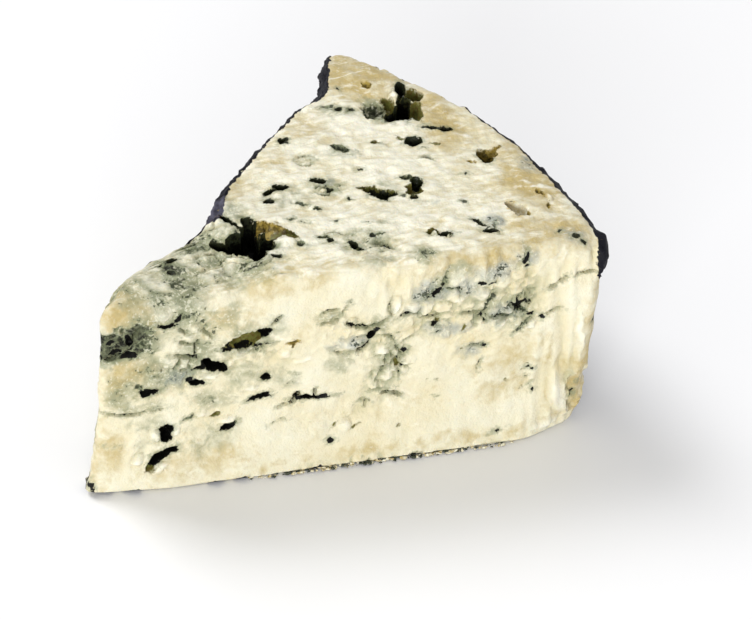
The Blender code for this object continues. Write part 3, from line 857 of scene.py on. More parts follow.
def layer(points, strength, size, seed):
    """One layer of noise of this strength."""
    return strength * noise(points, size, seed)


def curd_gap(points, size, seed):
    """How far each point lies from the wall between two curds of this size.

    There is one random point per cell. The gap is the distance to the second nearest of them less
    the distance to the nearest: 0 on the walls between the cells, and most in each cell's middle.
    """
    place = points / size
    cell = np.floor(place).astype(np.int64)
    nearest = np.full(len(points), 9.0)
    second = np.full(len(points), 9.0)
    for step in itertools.product((-1, 0, 1), repeat=3):
        other = cell + np.array(step)
        centre = other + 0.5 + CURD_JITTER * lattice_random(other, seed)
        distance = ((place - centre) ** 2).sum(axis=1)
        second = np.minimum(second, np.maximum(nearest, distance))
        nearest = np.minimum(nearest, distance)
    return (np.sqrt(second) - np.sqrt(nearest)) * size


def edge_field(inset):
    """A mark's strength from how far inside its outline a point lies: 0.5 on the outline itself."""
    return np.clip(0.5 + FIELD_SLOPE * inset, 0.0, 1.0)


def second_cut_hollow(reach):
    """How far the second cut lies inside its straight line, at this distance from the tip."""
    hollow = smooth_step(*HOLLOW_RISE, reach) * (1.0 - smooth_step(*HOLLOW_FALL, reach))
    nicks = sum(bump(reach, place, NICK_HALF_WIDTH) for place in NICK_PLACES)
    swell = bump(reach, TIP_SWELL_PLACE, TIP_SWELL_HALF_WIDTH)
    return HOLLOW_DEPTH * hollow + NICK_DEPTH * nicks - TIP_SWELL * swell


def second_cut_place(x, y):
    """Distance along and across the straight line of the second cut."""
    reach = x * math.cos(SECTOR_ANGLE) + y * math.sin(SECTOR_ANGLE)
    across = y * math.cos(SECTOR_ANGLE) - x * math.sin(SECTOR_ANGLE)
    return reach, across


def outside_distance(x, y):
    """Negative inside the plan of the wedge, with its three corners rounded by a soft maximum."""
    reach, across = second_cut_place(x, y)
    sides = np.stack([-y, np.hypot(x, y) - WHEEL_RADIUS, across + second_cut_hollow(reach)])
    return CORNER_SOFTNESS * np.log(np.exp(sides / CORNER_SOFTNESS).sum(axis=0))


def block_share(x, y):
    """1 on the crumbly block at the tip, easing to 0 past it."""
    return 1.0 - smooth_step(BLOCK_REACH, BLOCK_REACH + BLOCK_SLOPE, np.hypot(x, y))


def edge_rounding(x, y):
    """Radius of the top edge: soft at the rim's front end and round the block, crisp elsewhere."""
    rim = smooth_step(WHEEL_RADIUS - RIM_SOFT_FROM, WHEEL_RADIUS - RIM_SOFT_TO, np.hypot(x, y))
    front_end = rim * (1.0 - smooth_step(*FRONT_END_FADE, y))
    softer = RIM_SHARE * rim + FRONT_END_SHARE * front_end + BLOCK_SHARE * block_share(x, y)
    return EDGE_ROUNDING + (SHOULDER_ROUNDING - EDGE_ROUNDING) * np.clip(softer, 0.0, 1.0)


def top_height(x, y):
    """Height of the level top, lower on the block at the tip."""
    return HEIGHT - BLOCK_DROP * block_share(x, y)


def foot_inset(x, y, height):
    """Negative where the cut faces flare at the foot, positive where the rim tucks under."""
    reach = np.hypot(x, y)
    rim = smooth_step(WHEEL_RADIUS - RIM_FOOT_DEPTH, WHEEL_RADIUS, reach)
    past_tip = smooth_step(0.0, TIP_FLARE_REACH, reach)
    share = TIP_FLARE_SHARE + (1.0 - TIP_FLARE_SHARE) * past_tip
    flare = FOOT_FLARE * share * (1.0 - smooth_step(0.0, FOOT_HEIGHT, height))
    tuck = RIM_TUCK * (1.0 - smooth_step(0.0, RIM_TUCK_HEIGHT, height))
    return tuck * rim - flare * (1.0 - rim)


def no_inset(x, _):
    """The plan's own edge: moved in by nothing."""
    return np.zeros_like(x)


def ring_on(angle, inset=no_inset):
    """Points where rays from the plan's centre meet its edge, moved in by inset(x, y)."""
    ray = np.stack([np.cos(angle), np.sin(angle)], axis=1)
    near = np.zeros(len(angle))
    far = np.full(len(angle), WHEEL_RADIUS)
    for _ in range(ROOT_STEPS):
        middle = (near + far) / 2.0
        x, y = (PLAN_CENTRE + ray * middle[:, None]).T
        inside = outside_distance(x, y) + inset(x, y) < 0.0
        near = np.where(inside, middle, near)
        far = np.where(inside, far, middle)
    return PLAN_CENTRE + ray * near[:, None]


def column_angles():
    """Directions of the columns: evenly spaced along the front cut, the rim, then the second cut."""
    corners = np.array(
        [
            [0.0, 0.0],
            [WHEEL_RADIUS, 0.0],
            [WHEEL_RADIUS * math.cos(SECTOR_ANGLE), WHEEL_RADIUS * math.sin(SECTOR_ANGLE)],
            [0.0, 0.0],
        ]
    )
    toward = corners - PLAN_CENTRE
    bearing = np.unwrap(np.arctan2(toward[:, 1], toward[:, 0]))
    angles = []
    for start, end, count in zip(bearing, bearing[1:], (CUT_COLUMNS, RIM_COLUMNS, CUT_COLUMNS)):
        angle = np.linspace(start, end, EDGE_STEPS)
        length = np.hypot(*np.diff(ring_on(angle), axis=0).T).cumsum()
        length = np.concatenate([[0.0], length])
        angles.append(np.interp(np.linspace(0.0, length[-1], count, endpoint=False), length, angle))
    return np.concatenate(angles)


def wall_and_edge_rings():
    """Rings of points from the base up the upright faces and over the rounded top edge."""
    angle = column_angles()
    plan = ring_on(angle)
    shoulder = top_height(*plan.T) - edge_rounding(*plan.T)
    base = ring_on(angle, lambda x, y: foot_inset(x, y, 0.0) + BASE_ROUNDING)
    rings = [np.column_stack([base, np.zeros(len(base))])]
    for share in np.linspace(0.0, 1.0, WALL_ROWS) ** ROW_EASE:
        height = BASE_ROUNDING + (shoulder - BASE_ROUNDING) * share
        ring = ring_on(angle, lambda x, y, height=height: foot_inset(x, y, height))
        rings.append(np.column_stack([ring, height]))
    for turn in np.linspace(0.0, math.pi / 2.0, EDGE_ROWS + 1)[1:]:
        share = 1.0 - math.cos(turn)
        inner = ring_on(angle, lambda x, y, share=share: share * edge_rounding(x, y))
        fall = edge_rounding(*inner.T) * (1.0 - math.sin(turn))
        rings.append(np.column_stack([inner, top_height(*inner.T) - fall]))
    return np.array(rings)


def wedge_grid():
    """The smooth wedge as points and faces.

    The upright faces are a grid of rings by columns. The top is a grid from the tip out to the rim:
    each point is blended between the front cut and the second cut, and swelled by the rim's own
    bulge in proportion to its distance from the tip.
    """
    rings = wall_and_edge_rings()
    rows, columns = rings.shape[:2]
    number = np.arange(rows * columns).reshape(rows, columns)
    right = np.roll(number, -1, axis=1)
    walls = np.stack([number[:-1], right[:-1], right[1:], number[1:]], axis=-1).reshape(-1, 4)

    rim_end = CUT_COLUMNS + RIM_COLUMNS
    last = rings[-1, :, :2]
    front = last[: CUT_COLUMNS + 1]
    rim = last[CUT_COLUMNS : rim_end + 1]
    second = np.vstack([last[rim_end:], last[:1]])[::-1]
    out = np.linspace(0.0, 1.0, CUT_COLUMNS + 1)[:, None, None]
    over = np.linspace(0.0, 1.0, RIM_COLUMNS + 1)[None, :, None]
    flat = (1.0 - over) * front[:, None] + over * second[:, None]
    bulge = rim[None] - ((1.0 - over) * front[-1] + over * second[-1])
    top = (flat + out * bulge)[1:-1, 1:-1].reshape(-1, 2)
    top = np.column_stack([top, top_height(*top.T)])

    at = np.empty((CUT_COLUMNS + 1, RIM_COLUMNS + 1), np.int64)
    at[1:-1, 1:-1] = rows * columns + np.arange(len(top)).reshape(CUT_COLUMNS - 1, RIM_COLUMNS - 1)
    at[:, 0] = number[-1, : CUT_COLUMNS + 1]
    at[-1, :] = number[-1, CUT_COLUMNS : rim_end + 1]
    at[:, -1] = np.append(number[-1, rim_end:], number[-1, 0])[::-1]
    at[0, :] = number[-1, 0]
    cells = np.stack([at[1:-1, :-1], at[2:, :-1], at[2:, 1:], at[1:-1, 1:]], axis=-1).reshape(-1, 4)
    tip = np.stack([at[0, :-1], at[1, :-1], at[1, 1:]], axis=-1)

    centre = np.array([[*PLAN_CENTRE, 0.0]])
    points = np.vstack([rings.reshape(-1, 3), top, centre])
    below = np.full(columns, len(points) - 1)
    base = np.stack([right[0], number[0], below], axis=-1)
    return points, np.vstack([walls, cells]), np.vstack([tip, base])


def point_normals(points, quads, triangles):
    """Unit normals at the points: the cross products of the faces round each, added up."""
    split = np.vstack([quads[:, [0, 1, 2]], quads[:, [0, 2, 3]], triangles])
    a, b, c = (points[split[:, i]] for i in range(3))
    cross = np.cross(b - a, c - a)
    total = np.zeros_like(points)
    for i in range(3):
        np.add.at(total, split[:, i], cross)
    return total / np.linalg.norm(total, axis=1)[:, None]


def face_axes(face, u, v):
    """Centre of a spot on the top or a cut, and that face's own two directions and outward normal."""
    up = np.array([0.0, 0.0, 1.0])
    if face == "top":
        return np.array([u, v, HEIGHT]), np.array([1.0, 0, 0]), np.array([0, 1.0, 0]), up
    if face == "front":
        return np.array([u, 0.0, v]), np.array([1.0, 0, 0]), up, np.array([0, -1.0, 0])
    along = np.array([math.cos(SECTOR_ANGLE), math.sin(SECTOR_ANGLE), 0.0])
    normal = np.array([-along[1], along[0], 0.0])
    centre = along * u - normal * float(second_cut_hollow(np.array(u))) + up * v
    return centre, along, up, normal


def scattered_holes(face, count, u_range, v_range, sizes, linings, seed):
    """Random small holes for a face: long low slits and round pits, deeper when wider."""
    draw = np.random.default_rng(seed)
    made = []
    for _ in range(count):
        length = draw.uniform(*sizes) * draw.choice(SLIT_STRETCHES)
        width = length * draw.uniform(*SLIT_WIDTHS)
        depth = min(SLIT_STEEPNESS * width + SLIT_DEPTH, SLIT_DEEPEST)
        lining = str(draw.choice(linings))
        u, v = draw.uniform(*u_range), draw.uniform(*v_range)
        made.append((face, u, v, length, width, draw.uniform(-SLIT_TURN, SLIT_TURN), depth, lining))
    return made


def all_holes():
    """The placed holes of the top and the front cut, then the scattered ones."""
    holes = [("top", *hole) for hole in TOP_HOLES] + [("front", *hole) for hole in FRONT_HOLES]
    for row in SCATTERED_HOLES:
        holes += scattered_holes(*row)
    return holes


def all_cracks():
    """The placed cracks of the top and the front cut, and random level ones for the second cut."""
    cracks = [("top", *crack) for crack in TOP_CRACKS] + [("front", *crack) for crack in FRONT_CRACKS]
    draw = np.random.default_rng(SECOND_CRACK_SEED)
    for _ in range(SECOND_CRACKS):
        place = draw.uniform(*SECOND_CRACK_PLACES)
        length = draw.uniform(*SECOND_CRACK_LENGTHS)
        turn, sag = draw.normal((0.0, 0.0), SECOND_CRACK_BEND)
        cracks.append(("second", *place, length, SECOND_CRACK_WIDTH, turn, sag, SECOND_CRACK_DEPTH))
    return cracks


def lie_along(points, face, u, v, turn):
    """Distances of points along, across and off the face from a mark on it, and its two directions."""
    centre, first, second, normal = face_axes(face, u, v)
    angle = math.radians(turn)
    along = first * math.cos(angle) + second * math.sin(angle)
    across = second * math.cos(angle) - first * math.sin(angle)
    away = points - centre
    return away @ along, away @ across, away @ normal, along, across


def close_to(points, face, u, v, reach):
    """Numbers of the points within this distance of a mark's centre."""
    return np.flatnonzero(((points - face_axes(face, u, v)[0]) ** 2).sum(axis=1) < reach**2)


def hole_profile(share, room):
    """Depth and new place of points in a hole, as shares of its depth and of the way to its outline.

    Points close to the outline are moved onto it and stay level, so that the rim is crisp. From
    there a steep wall falls as a quarter sine wave, and the floor is stretched to meet it.
    """
    snap = np.minimum(RIM_SNAP / room, RIM_SNAP_MOST)
    wall = np.clip(WALL_RUN / room, *WALL_RUN_LIMITS)
    down = np.clip((1.0 - snap - share) / (wall - snap), 0.0, 1.0)
    floor_end = 1.0 - WALL_LEAN
    place = np.where(share < 1.0 - wall, share * floor_end / (1.0 - wall), 1.0 - WALL_LEAN * down)
    place = np.where(share > 1.0 + snap, share, place)
    return np.sin(down * math.pi / 2.0), place


def carve_holes(points, depth_share, drift, fine_drift):
    """Depth, sideways shift and linings of the holes, each with a ragged outline.

    A hole is an oval or, on the front cut, has slight corners: a share of its outline from 0 in its
    middle to 1 on its edge gives the depth and the shift of the points in it.

    The finer drift and raggedness are kept off the deep holes, whose walls they would flute from
    rim to floor.
    """
    depth = np.zeros(len(points))
    shift = np.zeros_like(points)
    linings = {name: np.zeros(len(points)) for name in LININGS}
    broad_ragged, fine_ragged = layer(points, *BROAD_RAGGED), layer(points, *FINE_RAGGED)
    for face, u, v, length, width, turn, deep, lining in all_holes():
        near = close_to(points, face, u, v, max(length, width) / 2.0 + HALO)
        fine = min(1.0, FLUTED_DEPTH / deep) ** 2
        warped = points[near] + drift[near] + fine * fine_drift[near]
        along, across, off, first, second = lie_along(warped, face, u, v, turn)
        power = CORNERED if face == "front" else ROUND
        share = np.abs(2.0 * along / length) ** power + np.abs(2.0 * across / width) ** power
        share = (share + np.abs(off / HOLE_SKIN) ** power) ** (1.0 / power)
        uneven = broad_ragged[near] * (0.5 + 0.5 * fine) + fine_ragged[near] * fine
        share = np.maximum(share * (1.0 + uneven), LEAST_SHARE)
        room = min(length, width) / 2.0
        down, place = hole_profile(share, room)
        deeper = deep * down >= depth[near]
        depth[near] = np.where(deeper, deep * down, depth[near])
        out = along[:, None] * first + across[:, None] * second
        moved = out * (place / share - 1.0)[:, None]
        shift[near] = np.where((deeper & (share < SHIFT_REACH))[:, None], moved, shift[near])
        if lining in linings:
            field = edge_field((1.0 - share) * room + LINING_OVERLAP + LINING_WALL * down)
            linings[lining][near] = np.maximum(linings[lining][near], field)
    return depth * depth_share, shift, linings


def bent_share(points, face, u, v, length, width, turn, sag, power):
    """Distance to the outline of a mark bent into an arc by its sag: 0 on its middle line, 1 outside."""
    along, across, off, _, _ = lie_along(points, face, u, v, turn)
    run = 2.0 * along / length
    across = across - sag * (1.0 - run**2)
    return (np.abs(run) ** power + (2.0 * across / width) ** 2 + (off / HOLE_SKIN) ** 2) ** 0.5


def open_cracks(points, warped):
    """Depth and marks of the cracks, each a groove with sloped sides along an arc."""
    depth = np.zeros(len(points))
    field = np.zeros(len(points))
    for face, u, v, length, width, turn, sag, deep in all_cracks():
        near = close_to(points, face, u, v, length / 2.0 + HALO)
        share = bent_share(warped[near], face, u, v, length, width, turn, sag, BLUNT_ENDS)
        depth[near] = np.maximum(depth[near], deep * np.clip(1.0 - share**2, 0.0, 1.0))
        tone = min(1.0, CRACK_TONE + CRACK_TONE_SLOPE * deep)
        field[near] = np.maximum(field[near], tone * edge_field((1.0 - share) * width / 2.0))
    return depth, field


def raise_lumps(points, warped):
    """Rise of the knobs and lips, with a shallow groove round each, and how white they are drawn: a
    painted highlight on each dome.
    """
    rise = np.zeros(len(points))
    white = np.zeros(len(points))
    lumps = [("top", *lump) for lump in TOP_LUMPS] + [("front", *lump) for lump in FRONT_LUMPS]
    for face, u, v, length, width, turn, sag, high in lumps:
        near = close_to(points, face, u, v, max(length, width) / 2.0 + HALO)
        share = bent_share(warped[near], face, u, v, length, width, turn, sag, ROUND_ENDS)
        dome = np.clip(1.0 - share**2, 0.0, 1.0)
        groove = GROOVE_DEPTH * bump(share, GROOVE_PLACE, GROOVE_HALF_WIDTH)
        rise[near] += high * (np.sqrt(dome) * 0.5 + dome * 0.5 - groove)
        white[near] = np.maximum(white[near], dome)
    return rise, white


def blobs(points, spots):
    """The strongest of soft ellipsoid spots, each its strength times a bell of its distance."""
    found = np.zeros(len(points))
    for centre, radii, strength in spots:
        distance = (((points - np.array(centre)) / np.array(radii)) ** 2).sum(axis=1)
        found = np.maximum(found, strength * np.exp(-(distance**SPOT_EDGE)))
    return found


def wedge_zones(points, normals):
    """How much each point belongs to the top, the front cut, the second cut and the rim."""
    reach, across = second_cut_place(points[:, 0], points[:, 1])
    side = normals @ np.array([-math.sin(SECTOR_ANGLE), math.cos(SECTOR_ANGLE), 0.0])
    radial = np.hypot(points[:, 0], points[:, 1])
    outward = (normals[:, 0] * points[:, 0] + normals[:, 1] * points[:, 1]) / np.maximum(radial, 1.0)
    return {
        "top": smooth_step(*TOP_FACE, normals[:, 2]),
        "front": smooth_step(*FRONT_FACE, -normals[:, 1]),
        "second": smooth_step(*SECOND_FACE, side),
        "rim": smooth_step(*RIM_FACE, outward) * smooth_step(*RIM_FACE_REACH, radial / WHEEL_RADIUS),
        "reach": reach,
        "inside": -(across + second_cut_hollow(reach)),
        "radial": radial,
    }


def with_peaks(width, reach, peaks):
    """A width along the second cut, with a bell of extra width at each peak."""
    return sum((high * bump(reach, place, half_width) for place, half_width, high in peaks), width)


def strip_width(reach):
    """Width of the torn rind strip along the top of the second cut, widest by the notch and far end."""
    width = with_peaks(STRIP_WIDTH, reach, STRIP_PEAKS)
    return width * smooth_step(*STRIP_START, reach) * (1.0 - smooth_step(*STRIP_END, reach))


def rind_field(points, zones, ragged):
    """How far inside the dark rind's outline each point lies, in millimetres, before it is a mark.

    The rind covers the rim below a worn edge, a strip along the top of both back edges, a band
    under the top of the second cut, a thick torn flap at the rim's front shoulder, and the foot.
    """
    _, y, z = points.T
    reach = zones["reach"]
    depth = HEIGHT - z
    rim_zone = (zones["rim"] - 0.5) * RIND_FACE_SLOPE
    worn = WORN_RISE * smooth_step(*WORN_FROM, y) - WORN_START + WORN_RAGGED * ragged
    front_end = np.maximum(y - RIM_FRONT_END + RIM_FRONT_RAGGED * ragged, z - RIM_FRONT_TOP)
    rim = np.minimum(np.minimum(rim_zone, depth - worn), front_end)
    lip = LIP_WIDTH * (1.0 - smooth_step(*LIP_FADE, y)) + FLAP_WIDTH * (1.0 - smooth_step(*FLAP_FADE, y))
    lip = zones["radial"] - WHEEL_RADIUS + lip + LIP_RAGGED * ragged
    lip = np.minimum(lip, np.minimum((LIP_END - y) * LIP_END_SLOPE, z - LIP_FOOT + ragged))
    band_top = NOTCH_BAND_TOP * (1.0 - smooth_step(*NOTCH_BAND_FADE, reach))
    band_top = band_top + BAND_STEP * (reach < BAND_STEP_REACH)
    band_foot = with_peaks(BAND_WIDTH, reach, BAND_PEAKS)
    band_foot = band_foot + layer(points, *BAND_LAYER) + BAND_RAGGED * ragged
    strip = strip_width(reach) - zones["inside"] + STRIP_RAGGED * ragged
    strip = np.minimum(strip, band_foot - depth)
    band = np.minimum(depth - band_top + ragged, band_foot - depth)
    band = np.minimum(band, (zones["second"] - 0.5) * RIND_FACE_SLOPE)
    flecks = blobs(points, FOOT_FLECKS) + np.clip(zones["second"] + zones["rim"], 0.0, 1.0)
    foot = FOOT_RIND * flecks + FOOT_RAGGED * ragged - FOOT_START - z
    return np.maximum.reduce([rim, lip, strip, band, foot]), strip, lip


def wander(points, amount, size, seed):
    """Sideways drift of marks: three layers of noise, one along each direction."""
    return amount * np.stack([noise(points, size, seed + i) for i in range(3)], axis=1)


def tip_fade(zones):
    """Keeps fine relief off the tip's upright edge, which is smoothly worn."""
    return WORN_TIP + (1.0 - WORN_TIP) * smooth_step(*WORN_TIP_REACH, zones["radial"])


def curd_relief(points, zones, drift):
    """Height of the broken curds, how crumbly each point is, and how far it lies inside a crevice.

    A curd rises from the wall round it to a flat top, and carries finer bits that do the same.
    """
    crumbly = blobs(points, CRUMBLY_PLACES) * (CRUMBLY_SHARE + layer(points, *CRUMBLY_LAYER))
    patchy = PATCHY_SHARE * smooth_step(*PATCHY_RANGE, layer(points, *PATCHY_LAYER))
    crumbly = np.clip(np.maximum(crumbly, patchy * zones["second"]), 0.0, 1.0)
    gap = curd_gap(points * CURD_FLATNESS + CURD_DRIFT * drift, CURD_SIZE, CURD_SEED)
    bit_gap = curd_gap(points + BIT_DRIFT * drift, BIT_SIZE, BIT_SEED)
    height = smooth_step(0.0, CURD_SHOULDER, gap) - CURD_LEVEL
    height = height + BIT_HEIGHT * (smooth_step(0.0, BIT_SHOULDER, bit_gap) - BIT_LEVEL)
    broken = layer(points, *BROKEN_LAYER) + BROKEN_CRUMBLY * crumbly - BROKEN_START
    broken = smooth_step(*BROKEN_RANGE, broken) * smooth_step(*CREVICE_CRUMBLY, crumbly)
    crevice = (CREVICE_WIDTH - gap) - CREVICE_GAP * (1.0 - broken)
    return crumbly * height * tip_fade(zones), crumbly, crevice


def smooth_relief(points, zones):
    """Low swells everywhere, knife drag along the top, and upright folds at the rim end of the front."""
    x, _, z = points.T
    swells = SWELL_HEIGHT * fractal(points, SWELL_SIZE, SWELL_SEED) + layer(points, *RIPPLE_LAYER)
    undulating = points + np.outer(layer(points, *DRAG_WANDER), (0.0, 1.0, 0.0))
    drag = sum(layer(undulating, *row) for row in DRAG_LAYERS)
    smear = layer(points, *SMEAR_LAYER) * smooth_step(*SMEAR_FROM, x) * (1.0 - smooth_step(*SMEAR_TO, z))
    fold = layer(points, *FOLD_LAYER) * bump(z, FOLD_PLACE, FOLD_HALF_WIDTH) * smooth_step(*FOLD_FROM, x)
    folds = (SMEAR_HEIGHT * smear + FOLD_HEIGHT * fold) * zones["front"]
    skin = SKIN_HEIGHT * fractal(points, SKIN_SIZE, SKIN_SEED)
    return swells + drag * zones["top"] + folds + skin * tip_fade(zones), drag


def settle(values, quads, triangles, share):
    """Values at the points, each moved this share of the way to its neighbours' mean, a few times."""
    loops = [quads[:, [i, (i + 1) % 4]] for i in range(4)]
    loops += [triangles[:, [i, (i + 1) % 3]] for i in range(3)]
    edges = np.vstack(loops)
    ends, others = edges.ravel(), edges[:, ::-1].ravel()
    count = np.bincount(ends)
    for _ in range(SETTLE_ROUNDS):
        mean = [np.bincount(ends, weights=column[others]) / count for column in values.T]
        values = values + share[:, None] * (np.stack(mean, axis=1) - values)
    return values


def rind_height(points, zones, covered, strip, lip):
    """Height of the rind: its thickness and bark and its flap, less the shelf under the torn strip."""
    bark = BARK_HEIGHT * fractal(points, BARK_SIZE, BARK_SEED) + np.abs(layer(points, *BARK_LAYER))
    flap = FLAP_HEIGHT * smooth_step(*FLAP_EDGE, lip) * (1.0 - smooth_step(*FLAP_REACH, points[:, 1]))
    shelf = SHELF_SLOPE * np.clip(strip, 0.0, SHELF_WIDTH) * zones["top"]
    return covered * (RIND_THICKNESS + bark) + flap - shelf


def stain_marks(points, zones, drift):
    """Strengths of the green mould, the blue mould and the tan crust, as shares of the strongest."""
    veil = smooth_step(*VEIL_RANGE, fractal(points, VEIL_SIZE, VEIL_SEED)) * VEIL_STRENGTH
    green = np.maximum(blobs(points + STAIN_DRIFT * drift, GREEN_STAINS), zones["second"] * veil)
    blue = blobs(points + STAIN_DRIFT * drift, BLUE_STAINS)
    rim = RIM_TAN * smooth_step(*RIM_TAN_RANGE, zones["rim"])
    tan = np.maximum(blobs(points + TAN_DRIFT * drift, TAN_PLACES), rim)
    return green / STAIN_TOP, blue / STAIN_TOP, tan / STAIN_TOP


def bloom_mark(points, zones, strip):
    """Strength of the rind's pale bloom below the rim's edge, and of the pale patch on the widest part of
    the strip, which is bloom and painted sheen.
    """
    _, y, z = points.T
    bloom_and_sheen = bump(zones["reach"], BLOOM_SHEEN_PLACE, BLOOM_SHEEN_HALF_WIDTH) * smooth_step(*BLOOM_SHEEN_STRIP, strip)
    rim = RIM_BLOOM * smooth_step(*RIM_BLOOM_DEPTH, HEIGHT - z) * smooth_step(*RIM_BLOOM_FROM, y)
    return np.maximum(bloom_and_sheen, rim)


def paste_surface(form):
    """The wedge's points, faces and marks, with relief, cracks and holes moved along the normals.

    A point moves out by the height of the relief and in by the deepest of its hole, crack and
    crevice. In a hole it also shifts sideways, so that the walls are steep.
    """
    points, quads, triangles = wedge_grid()
    normals = point_normals(points, quads, triangles)
    zones = wedge_zones(points, normals)
    broad_drift, fine_drift = wander(points, *BROAD_DRIFT), wander(points, *FINE_DRIFT)
    drift = broad_drift + fine_drift
    hole_depth, shift, linings = carve_holes(points, form.hole_depth, broad_drift, fine_drift)
    crack_depth, cracks = open_cracks(points, points + CRACK_DRIFT * drift)
    lumps, lump_highlight = raise_lumps(points, points + LUMP_DRIFT * drift)
    curd_height, crumbly, crevice = curd_relief(points, zones, drift)
    smooth_height, drag = smooth_relief(points, zones)
    torn = sum(layer(points, *row) for row in TORN_LAYERS)
    rind, strip, lip = rind_field(points, zones, torn)

    covered = smooth_step(*RIND_EDGE, rind)
    relief = smooth_height + form.curd_height * curd_height + lumps
    relief = relief * (1.0 - RIND_SMOOTHING * covered)
    height = relief + rind_height(points, zones, covered, strip, lip)
    crevice_depth = CREVICE_DEPTH * smooth_step(-CREVICE_EASE, CREVICE_WIDTH, crevice)
    cut = np.maximum.reduce([hole_depth, crack_depth * (1.0 - covered), crevice_depth])
    grounded = smooth_step(*GROUNDED, points[:, 2])
    moved = points + normals * (grounded * (height - cut))[:, None] + shift * grounded[:, None]
    inside_holes = SETTLE_SHARE * smooth_step(*SETTLE_DEPTH, hole_depth)
    settled = settle(np.column_stack([moved, hole_depth]), quads, triangles, inside_holes)
    moved, hole_depth = settled[:, :3], settled[:, 3]
    moved[:, 2] = np.maximum(moved[:, 2], 0.0)

    # The crevices between curds are drawn dark like cracks: mould veins with painted shade.
    cracks = np.maximum(cracks, CREVICE_SHADE_TONE * edge_field(crevice))
    # The lift, the relief's height, drives painted light and shade in the material: raised paste whiter,
    # recesses darker and greener.
    lift = np.clip(0.5 + LIFT_SLOPE * (relief - crevice_depth - crack_depth), 0.0, 1.0)
    streak = 0.5 + DRAG_TONE * drag * zones["top"]
    marks = {
        "mould_marks": [linings[name] for name in LININGS],
        "paste_marks": (*stain_marks(points, zones, drift), lump_highlight),
        "form_marks": (edge_field(rind), cracks, lift, np.clip(hole_depth / DEPTH_TOP, 0.0, 1.0)),
        "skin_marks": (bloom_mark(points, zones, strip), streak, crumbly, zones["top"]),
    }
    return moved, quads, triangles, marks


def round_bit():
    """A closed ball of rings of points between two poles, with its quads and triangles."""
    around = np.linspace(0.0, 2.0 * math.pi, CRUMB_SIDES, endpoint=False)
    down = np.linspace(0.0, math.pi, CRUMB_RINGS + 2)[1:-1]
    level = np.outer(np.cos(down), np.ones(CRUMB_SIDES))
    rings = [np.outer(np.sin(down), np.cos(around)), np.outer(np.sin(down), np.sin(around)), level]
    ball = np.vstack([np.stack(rings, axis=-1).reshape(-1, 3), [[0.0, 0.0, 1.0], [0.0, 0.0, -1.0]]])
    number = np.arange(CRUMB_RINGS * CRUMB_SIDES).reshape(CRUMB_RINGS, CRUMB_SIDES)
    right = np.roll(number, -1, axis=1)
    quads = np.stack([number[:-1], number[1:], right[1:], right[:-1]], axis=-1).reshape(-1, 4)
    top, bottom = len(ball) - 2, len(ball) - 1
    caps = [[top, a, b] for a, b in zip(number[0], right[0])]
    caps += [[bottom, b, a] for a, b in zip(number[-1], right[-1])]
    return ball, quads, np.array(caps)


def crumb_heap(count):
    """Crumbs along the foot of the front cut: one ball for each, stretched and dented by noise."""
    ball, quads, triangles = round_bit()
    draw = np.random.default_rng(CRUMB_SEED)
    start, end = CRUMB_REACH
    along = draw.beta(CRUMB_GATHER, CRUMB_GATHER, count) * (end - start) + start
    radius = draw.uniform(*CRUMB_RADII, count) * draw.choice(CRUMB_SORTS, count)
    away = -FOOT_FLARE - draw.uniform(*CRUMB_SPREAD, count)
    centre = np.stack([along, away, radius * CRUMB_SEAT], axis=1)
    shape = radius[:, None] * draw.uniform(*CRUMB_STRETCH, (count, 3))
    heap = (ball[None] * shape[:, None] + centre[:, None]).reshape(-1, 3)
    heap = heap + wander(heap, *CRUMB_DENTS)
    heap[:, 2] = np.maximum(heap[:, 2], CRUMB_LOWEST)
    step = np.arange(count)[:, None, None] * len(ball)
    tone = np.repeat(draw.uniform(0.0, 1.0, count), len(ball))
    quads, triangles = (quads[None] + step).reshape(-1, 4), (triangles[None] + step).reshape(-1, 3)
    return heap, quads, triangles, {"crumb_marks": (tone, tone, tone, tone)}


def mesh_from(name, points, quads, triangles, marks):
    """A mesh object in the frame's metres, with its marks as colour attributes."""
    mesh = bpy.data.meshes.new(name)
    placed = (points + TIP) * METRES
    mesh.from_pydata(placed.tolist(), [], quads.tolist() + triangles.tolist())
    for title, channels in marks.items():
        attribute = mesh.color_attributes.new(title, "FLOAT_COLOR", "POINT")
        attribute.data.foreach_set("color", np.stack(channels, axis=1).astype(np.float32).ravel())
    mesh.polygons.foreach_set("use_smooth", np.ones(len(mesh.polygons), bool))
    mesh.update()
    mesh.set_sharp_from_angle(angle=CREASE_ANGLE)
    thing = bpy.data.objects.new(name, mesh)
    bpy.context.scene.collection.objects.link(thing)
    return thing


